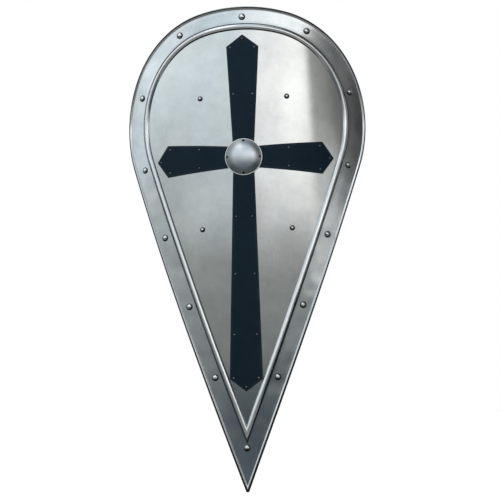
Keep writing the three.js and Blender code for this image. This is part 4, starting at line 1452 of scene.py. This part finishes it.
def combine(piece, other, operation):
    """Cuts another object out of a piece or joins it on, and uses the other one up."""
    modifier = piece.modifiers.new("combine", "BOOLEAN")
    modifier.operation = operation
    modifier.solver = "EXACT"
    modifier.object = other
    piece.data = made_mesh(piece)
    bpy.data.objects.remove(other)


def cut_slot(piece, low_x, high_x, low_y, high_y):
    """Cuts an upright slot with round ends out of a part of the arm strap."""
    corners = []
    for end, start in ((high_x - SLOT_HALF, -90), (low_x + SLOT_HALF, 90)):
        corners += arc((end, 0), SLOT_HALF, math.radians(start), math.radians(start + 180),
                       SLOT_STEPS)
    mesh = close_work(slab(corners, low_y, high_y), "slot")
    mesh.transform(arm_place)
    combine(piece, linked("slot", mesh), "DIFFERENCE")


short_half = strap_piece("arm_strap_short", short_half_path(), ARM_WIDTH, ARM_THICKNESS,
                         arm_place, round_end=False)
cut_slot(short_half, -BUCKLE_HALF - SLOT_REACH, -BUCKLE_HALF + 2 * eye_radius,
         buckle_level - 2 * eye_radius, buckle_level + 2 * eye_radius)
hand_over(short_half, "shield", ["arm_strap_short_half"])

long_half = strap_piece("arm_strap_long", long_half_path(), ARM_WIDTH, ARM_THICKNESS, arm_place)
hole_x = -BUCKLE_HALF + HOLE_CENTRE
cut_slot(long_half, hole_x - HOLE_LENGTH / 2, hole_x + HOLE_LENGTH / 2,
         buckle_level - eye_radius, over_level + ARM_THICKNESS)
hand_over(long_half, "shield", ["arm_strap_long_half"])

# %% Sew the fold round the heel bar
FOLD_SEAM_SHARE = 0.75
FOLD_SEAM_STEPS = 12
fold_middle = -BUCKLE_HALF - FOLD_LENGTH * FOLD_SEAM_SHARE
fold_low = buckle_level - eye_radius
seam_reach = ARM_WIDTH / 2 - SEAM_INSET
fold_row = []
for i in range(FOLD_SEAM_STEPS + 1):
    spot = Vector((fold_middle, fold_low, seam_reach * (2 * i / FOLD_SEAM_STEPS - 1)))
    fold_row.append((arm_place @ spot, arm_place.to_3x3() @ Vector((0, -1, 0))))
sew("fold_stitches", [fold_row], "shield")

# %% [markdown]
# ## The buckle and the keeper
# The buckle's frame is one bar bent to a rectangle. Its roller is a short tube on the front bar,
# and its prong is a bar bent round the heel bar, whose tip rests on the roller. The keeper is a
# loop of leather round both layers of the strap. Each of the three moving ones rides on its own
# body.

# %% Bend the buckle's frame and turn the roller
BUCKLE_SIDE_GAP = 1 * MM
BUCKLE_CORNER = 3 * MM
CORNER_STEPS = 6
ROUND_SIDES = 20
ROLLER_HALF = ARM_WIDTH / 2 + BUCKLE_SIDE_GAP - GAP
ROLLER_EDGE = 0.3 * MM


def tube_rings(centre, bore, outer, half, edge):
    """A tube about an upright axis, its outer edges rounded."""
    soft = edge * (1 - math.sqrt(0.5))
    low = [(bore, -half), (outer - edge, -half), (outer - soft, -half + soft),
           (outer, -half + edge)]
    profile = low + [(radius, -z) for radius, z in reversed(low)]
    return [[(centre[0] + r * math.cos(a), centre[1] + r * math.sin(a), z) for r, z in profile]
            for a in full_turn(2 * ROUND_SIDES)]


frame_half_z = ARM_WIDTH / 2 + BUCKLE_SIDE_GAP + BAR_RADIUS
frame_rings = [
    [(x + BAR_RADIUS * math.cos(a) * math.cos(outward), buckle_level + BAR_RADIUS * math.sin(a),
      z + BAR_RADIUS * math.cos(a) * math.sin(outward)) for a in full_turn(ROUND_SIDES)]
    for x, z, outward in round_rectangle(BUCKLE_HALF, frame_half_z, BUCKLE_CORNER, CORNER_STEPS)
]
buckle = sweep("buckle_frame_bar", frame_rings, DARK_STEEL, closed=True, place=arm_place)
hand_over(buckle, "shield", ["buckle_frame"])
roller_rings = tube_rings(front_bar, BORE, ROLLER_RADIUS, ROLLER_HALF, ROLLER_EDGE)
roller = sweep("roller_tube", roller_rings, DARK_STEEL, closed=True, place=arm_place)
hand_over(roller, "roller", ["buckle_roller"])

# %% [markdown]
# The prong is two simple shapes joined: an eye round the heel bar, and a tongue whose section is an
# oval that grows thinner towards the tip and bends down to the roller at its end.

# %% Join the prong's eye and tongue
RING_RADIUS = BORE + 2.2 * MM
EYE_EDGE = 0.7 * MM
PRONG_THICKNESS = 2.4 * MM
PRONG_OVERHANG = 2.5 * MM
PRONG_STEPS = 24
PRONG_NARROWING = 0.25
TIP_THINNING = 0.5
TIP_SHARE = 0.1
TIP_LEAST = 0.02


def prong_tongue():
    """Oval rings from inside the eye to the tip."""
    start_low = RING_RADIUS - PRONG_THICKNESS
    rest = ROLLER_RADIUS + GAP
    length = 2 * BUCKLE_HALF
    rings = []
    for i in range(PRONG_STEPS + 1):
        share = i / PRONG_STEPS
        x = share * (length + PRONG_OVERHANG)
        low = start_low + (rest - start_low) * min(1, x / length)
        thinning = TIP_THINNING * max(0, (x - length) / PRONG_OVERHANG)
        half_thick = PRONG_THICKNESS * (1 - thinning) / 2
        to_tip = max(0, (share - 1 + TIP_SHARE) / TIP_SHARE)
        tip = math.sqrt(max(TIP_LEAST, 1 - to_tip ** 2))
        half_wide = PRONG_WIDTH * (1 - PRONG_NARROWING * share) * tip / 2
        rings.append([(heel_bar[0] + x, heel_bar[1] + low + half_thick * (1 + tip * math.sin(a)),
                       half_wide * math.cos(a)) for a in full_turn(ROUND_SIDES)])
    return rings


eye_rings = tube_rings(heel_bar, BORE, RING_RADIUS, PRONG_WIDTH / 2, EYE_EDGE)
prong = sweep("prong_bar", eye_rings, DARK_STEEL, closed=True, place=arm_place)
combine(prong, sweep("tongue", prong_tongue(), DARK_STEEL, place=arm_place), "UNION")
hand_over(prong, "prong", ["buckle_prong"])

# %% [markdown]
# The keeper is a narrow strap's section swept once round both layers of leather, where the arm
# strap's left leg is straight.

# %% Make the keeper
KEEPER_WALL = 2.2 * MM
KEEPER_LENGTH = 12 * MM
outwards = (ARM_THICKNESS + GAP) / 2
leg_middle = ((leg_start[0] + leg_end[0]) / 2, (leg_start[1] + leg_end[1]) / 2, leg_start[2])
keeper_spot = Vector((*beside(leg_middle, outwards), 0))
keeper_turn = Matrix.Rotation(leg_start[2], 4, "Z")
keeper_place = arm_place @ Matrix.Translation(keeper_spot) @ keeper_turn
half_off = (2 * ARM_THICKNESS + 3 * GAP) / 2 + KEEPER_WALL / 2
half_wide = ARM_WIDTH / 2 + GAP + KEEPER_WALL / 2
keeper_rings = [
    [(along, off + thick * math.cos(outward), z + thick * math.sin(outward))
     for along, thick in strap_section(KEEPER_LENGTH, KEEPER_WALL)]
    for off, z, outward in round_rectangle(half_off, half_wide, KEEPER_WALL, CORNER_STEPS)
]
keeper = sweep("keeper_loop", keeper_rings, STRAP_LEATHER, closed=True, place=keeper_place)
keeper_flat = keeper_place.inverted()
mark_edges(keeper, [
    math.exp((abs((keeper_flat @ v.co).x) - KEEPER_LENGTH / 2) / WORN_WIDTH)
    for v in keeper.data.vertices
])
hand_over(keeper, "keeper", ["strap_keeper"])

# %% [markdown]
# ## What stays as the frame has it
# The wire inside the rolled edge is shut in all round, so the frame's own mesh will do: it only
# gets the dark steel.

# %% Finish the wire
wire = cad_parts["edge_wire"]
wire.data.materials.clear()
wire.data.materials.append(DARK_STEEL)
print("the wire keeps its mesh of", len(wire.data.polygons), "faces")

# %% [markdown]
# ## Light
# Polished steel shows its surroundings, so the light is mostly a matter of what stands round the
# shield. The room is white. In it stand a bright window a little to the right, a bluish stretch
# left of it, dark screens on both sides and a dark band at the horizon, over a dark floor: together
# they give the bent sheet one bright band, a sharp step beside it and a lower half that falls into
# shade. All this is seen only in reflections. Two soft lamps, above and behind, do the rest and
# aren't mirrored themselves.

# %% Light the world
ROOM_FILL = 0.6

world = bpy.data.worlds.new("white_room")
bpy.context.scene.world = world
world.use_nodes = True
sky = world.node_tree
sky.nodes.clear()
rays = add(sky, "ShaderNodeLightPath")
seen = sums(sky, "MAXIMUM", rays["Is Camera Ray"], rays["Is Glossy Ray"])
seen = sums(sky, "MAXIMUM", seen, rays["Is Transmission Ray"])
settings = {"Color": (1, 1, 1), "Strength": remap(sky, seen, (0, 1), (ROOM_FILL, 1.0))}
background = add(sky, "ShaderNodeBackground", settings)
add(sky, "ShaderNodeOutputWorld", {"Surface": background[0]})


def soft_lamp(name, azimuth, elevation, distance, size, watts):
    """A rectangular lamp that looks at the shield and isn't mirrored in it."""
    lamp = bpy.data.lights.new(name, "AREA")
    lamp.shape = "RECTANGLE"
    lamp.size, lamp.size_y = size
    lamp.energy = watts
    holder = linked(name, lamp)
    away = direction(azimuth, elevation)
    holder.location = AIM + distance * away
    holder.rotation_euler = away.to_track_quat("Z", "Y").to_euler()
    holder.visible_glossy = False


soft_lamp("lamp_above", azimuth=-20, elevation=50, distance=2.6, size=(0.9, 0.6), watts=2.6)
soft_lamp("lamp_behind", azimuth=160, elevation=40, distance=3.0, size=(1.6, 1.2), watts=8)
print("lamps:", len(bpy.data.lights))

# %% [markdown]
# ### Cards
# A card is a curved strip far away, measured in degrees of azimuth and elevation. Those degrees are
# its UVs, so its soft edges and its shading from one side to the other are plain ramps: each one is
# an axis, an edge where it starts, and a width, negative if it runs the other way. The cards stand
# one inside the other, the first furthest out, and some lean to the left as they rise.

# %% Make a card
CARD_RADIUS = 9.0
CARD_STEP = 4
ROW = 6
LEAN_FROM = 14
FLOOR_Z = TIP_Z - 0.25


def card_material(name, shades, turn_over, fades):
    """A glow that goes from one shade to the other past a ramp, with faded edges."""
    material, tree, shader = new_material(name, "ShaderNodeMixShader")
    axes = axes_of(tree, add(tree, "ShaderNodeUVMap", uv_map="along")["UV"])
    shade = shades[0]
    if turn_over:
        axis, edge, width = turn_over
        shade = mix_colour(tree, ramp(tree, axes[axis], edge, width), *shades)
    cover = 1.0
    for axis, edge, width in fades:
        cover = sums(tree, "MULTIPLY", cover, ramp(tree, axes[axis], edge, width))
    glow = add(tree, "ShaderNodeEmission", {"Color": shade, "Strength": 1.0})[0]
    clear = add(tree, "ShaderNodeBsdfTransparent")[0]
    fill(tree, shader, {0: cover, 1: clear, 2: glow})
    return material


def studio_piece(name, columns, rows, place, material):
    """A grid of places that belongs to the studio, with its columns and rows as UVs."""
    count = len(columns)
    points = [place(column, row) for row in rows for column in columns]
    faces, uvs = [], []
    for j, (low, high) in enumerate(zip(rows, rows[1:])):
        for i, (near, far) in enumerate(zip(columns, columns[1:]), j * count):
            faces.append((i, i + 1, i + count + 1, i + count))
            uvs.append(((near, low), (far, low), (far, high), (near, high)))
    mesh = mesh_of(name, points, faces, uvs)
    mesh.materials.append(material)
    piece = linked(name, mesh)
    return piece


def only_reflected(card):
    """Keeps a card out of every ray but a reflection."""
    for rays_of in ("camera", "diffuse", "shadow", "transmission", "volume_scatter"):
        setattr(card, "visible_" + rays_of, False)


def steps_between(ends, step):
    """Evenly spaced values from one end to the other."""
    count = max(2, int((ends[1] - ends[0]) / step))
    return [ends[0] + (ends[1] - ends[0]) * i / count for i in range(count + 1)]


def card_row(name, distance, azimuths, elevations, lean, material):
    """A strip between two elevations, leaning left as it rises."""
    def place(azimuth, elevation):
        spot = direction(azimuth + lean * (LEAN_FROM - elevation)) * distance
        spot.z = distance * math.tan(math.radians(elevation))
        return AIM + spot

    turns = steps_between(azimuths, CARD_STEP)
    only_reflected(studio_piece(name, turns, elevations, place, material))


print("the furthest card stands", CARD_RADIUS, "m away")


# %% [markdown]
# UVs run straight across a card while its elevation is an angle, so a tall card is built of several
# rows to keep its degrees true.

# %% Stand the cards
# Name, how far inside the first, azimuths, elevations, lean, shades, turn-over, fades.
CARDS = (
    ("horizon_band", 0, (-132, 128), (-6, 14), 0, ((0.33, 0.35, 0.35), (0.28, 0.295, 0.29)),
     ("X", -60, 40), (("Y", 13, -8), ("X", -130, 28), ("X", 126, -32))),
    ("low_band", 0.1, (-132, 128), (-7, 1), 0, ((0.19, 0.21, 0.22), (0.075, 0.09, 0.105)),
     ("X", -38, 30), (("Y", 0.7, -1.6), ("X", -130, 28), ("X", 126, -32))),
    ("blue_stretch", 0.2, (-86, 12), (6, 28), 0, ((0.74, 0.84, 0.90), (1.05, 1.14, 1.18)),
     ("Y", 13.2, 5.5), (("X", -84, 6), ("X", 4, -16), ("Y", 7.4, 4.4), ("Y", 23, -5))),
    ("grey_stretch", 0.25, (-78, -30), (6, 15), 0, ((0.60, 0.63, 0.62),),
     None, (("X", -76, 12), ("X", -33, -16), ("Y", 14.6, -4.5), ("Y", 6.5, 3))),
    ("blue_above", 0.3, (-70, 50), (17, 65), 0, ((0.58, 0.68, 0.76),),
     None, (("X", -66, 20), ("X", 48, -10), ("Y", 18.5, 3))),
    ("dark_screen_right", 0.4, (35, 90), (-6, 70), 0.6, ((0.34, 0.35, 0.33), (0.08, 0.08, 0.085)),
     ("X", 46, 15), (("X", 37.6, 3.5), ("Y", 10.5, 4))),
    ("dark_corner_right", 0.5, (50, 178), (-6, 70), 0, ((0.20, 0.20, 0.20), (0.06, 0.06, 0.06)),
     ("X", 58, 15), (("X", 54, 8), ("X", 128, -28), ("Y", 6, 4))),
    ("dark_side_right", 0.55, (70, 178), (-6, 12), 0, ((0.03, 0.03, 0.03),),
     None, (("X", 72, 10), ("X", 128, -28), ("Y", 12, -4))),
    ("dark_screen_left", 0.4, (-178, -80), (-6, 70), 0, ((0.02, 0.02, 0.02),),
     None, (("X", -83, -6), ("X", -128, 28))),
    ("right_glow", 0.45, (34, 58), (3, 11), 0, ((0.80, 0.80, 0.80),),
     None, (("X", 35, 7), ("X", 57, -8), ("Y", 3.5, 3), ("Y", 10.5, -3))),
    ("window", 0.6, (-16, 42), (5, 28), 0.6, ((1.27, 1.27, 1.29), (1.50, 1.50, 1.48)),
     ("X", 14, 16), (("X", -14, 24), ("X", 39.8, -2), ("Y", 6.8, 6), ("Y", 26, -5))),
    ("lamp_glow", 0.7, (-48, -8), (32, 60), 0, ((2.6, 2.6, 2.55),),
     None, (("X", -46, 10), ("X", -10, -10), ("Y", 34, 8), ("Y", 58, -8))),
)

for name, inside, azimuths, (low, high), lean, *finish in CARDS:
    rows = max(1, math.ceil((high - low) / ROW))
    for i in range(rows):
        ends = (low + (high - low) * i / rows, low + (high - low) * (i + 1) / rows)
        row_name = f"{name}_{i + 1}"
        card_row(row_name, CARD_RADIUS - inside, azimuths, ends, lean,
                 card_material(row_name, *finish))
print("cards:", [card[0] for card in CARDS])

# %% [markdown]
# ### Floor
# The floor is pale and its colour drifts a little. It adds some white of its own for the camera
# only, so that it meets the white room without an edge and still keeps the shield's shadow. Over it
# lie rings that only reflections see: nearly black round the shield's foot, with a grey stretch in
# front, dark blue-grey further out, and black on the right. A ring's UVs are its distance, X, and
# its azimuth, Y.

# %% Lay the floor
RING_STEP = 6
FRONT_SIDE = (-132, 128)
FRONT_FADES = (("Y", -130, 28), ("Y", 126, -32))
FLOOR_GLOW = 0.5


def level_ring(name, z, azimuths, radii, material):
    """A level part of a ring round the shield."""
    def place(radius, azimuth):
        return direction(azimuth) * radius + Vector((0, 0, z))

    return studio_piece(name, radii, steps_between(azimuths, RING_STEP), place, material)


# Name, height over the floor, azimuths, radii, shades, turn-over, fades.
RINGS = (
    ("floor_near_by", 10, FRONT_SIDE, (0.01, 1, 1.7),
     ((0.012, 0.012, 0.012), (0.09, 0.10, 0.11)), ("X", 0.9, 0.8), FRONT_FADES),
    ("floor_in_front", 15, (-80, 86), (0.6, 1.2, 2.1), ((0.44, 0.43, 0.39),), None,
     (("X", 0.7, 0.5), ("X", 1.85, -0.7), ("Y", -78, 24), ("Y", 84, -24))),
    ("floor_further_out", 10, FRONT_SIDE, (1.7, 3, 5, 9.2),
     ((0.12, 0.155, 0.175), (0.06, 0.09, 0.115)), ("Y", -45, 40), FRONT_FADES),
    ("floor_dark_side", 20, (44, 132), (0.9, 3, 5, 9.2), ((0.012, 0.012, 0.012),), None,
     (("Y", 46, 16), ("Y", 126, -32), ("X", 7, -3))),
)
for name, over, azimuths, radii, *finish in RINGS:
    material = card_material(name, *finish)
    only_reflected(level_ring(name, FLOOR_Z + over * MM, azimuths, radii, material))

floor_paint, floor_tree, floor_shader = new_material("pale_floor")
speckle = noise(floor_tree, surface_place(floor_tree), 30)
camera_ray = add(floor_tree, "ShaderNodeLightPath")["Is Camera Ray"]
fill(floor_tree, floor_shader, {
    "Base Color": mix_colour(floor_tree, speckle, (0.90, 0.90, 0.90), (0.94, 0.94, 0.94)),
    "Roughness": 0.9,
    "Specular IOR Level": 0.1,
    "Emission Color": (1, 1, 1),
    "Emission Strength": sums(floor_tree, "MULTIPLY", camera_ray, FLOOR_GLOW),
})
level_ring("floor", FLOOR_Z, (-180, 180), (0.01, 2, 5, 30), floor_paint)
print("the floor lies at z", round(FLOOR_Z, 3))

# %% [markdown]
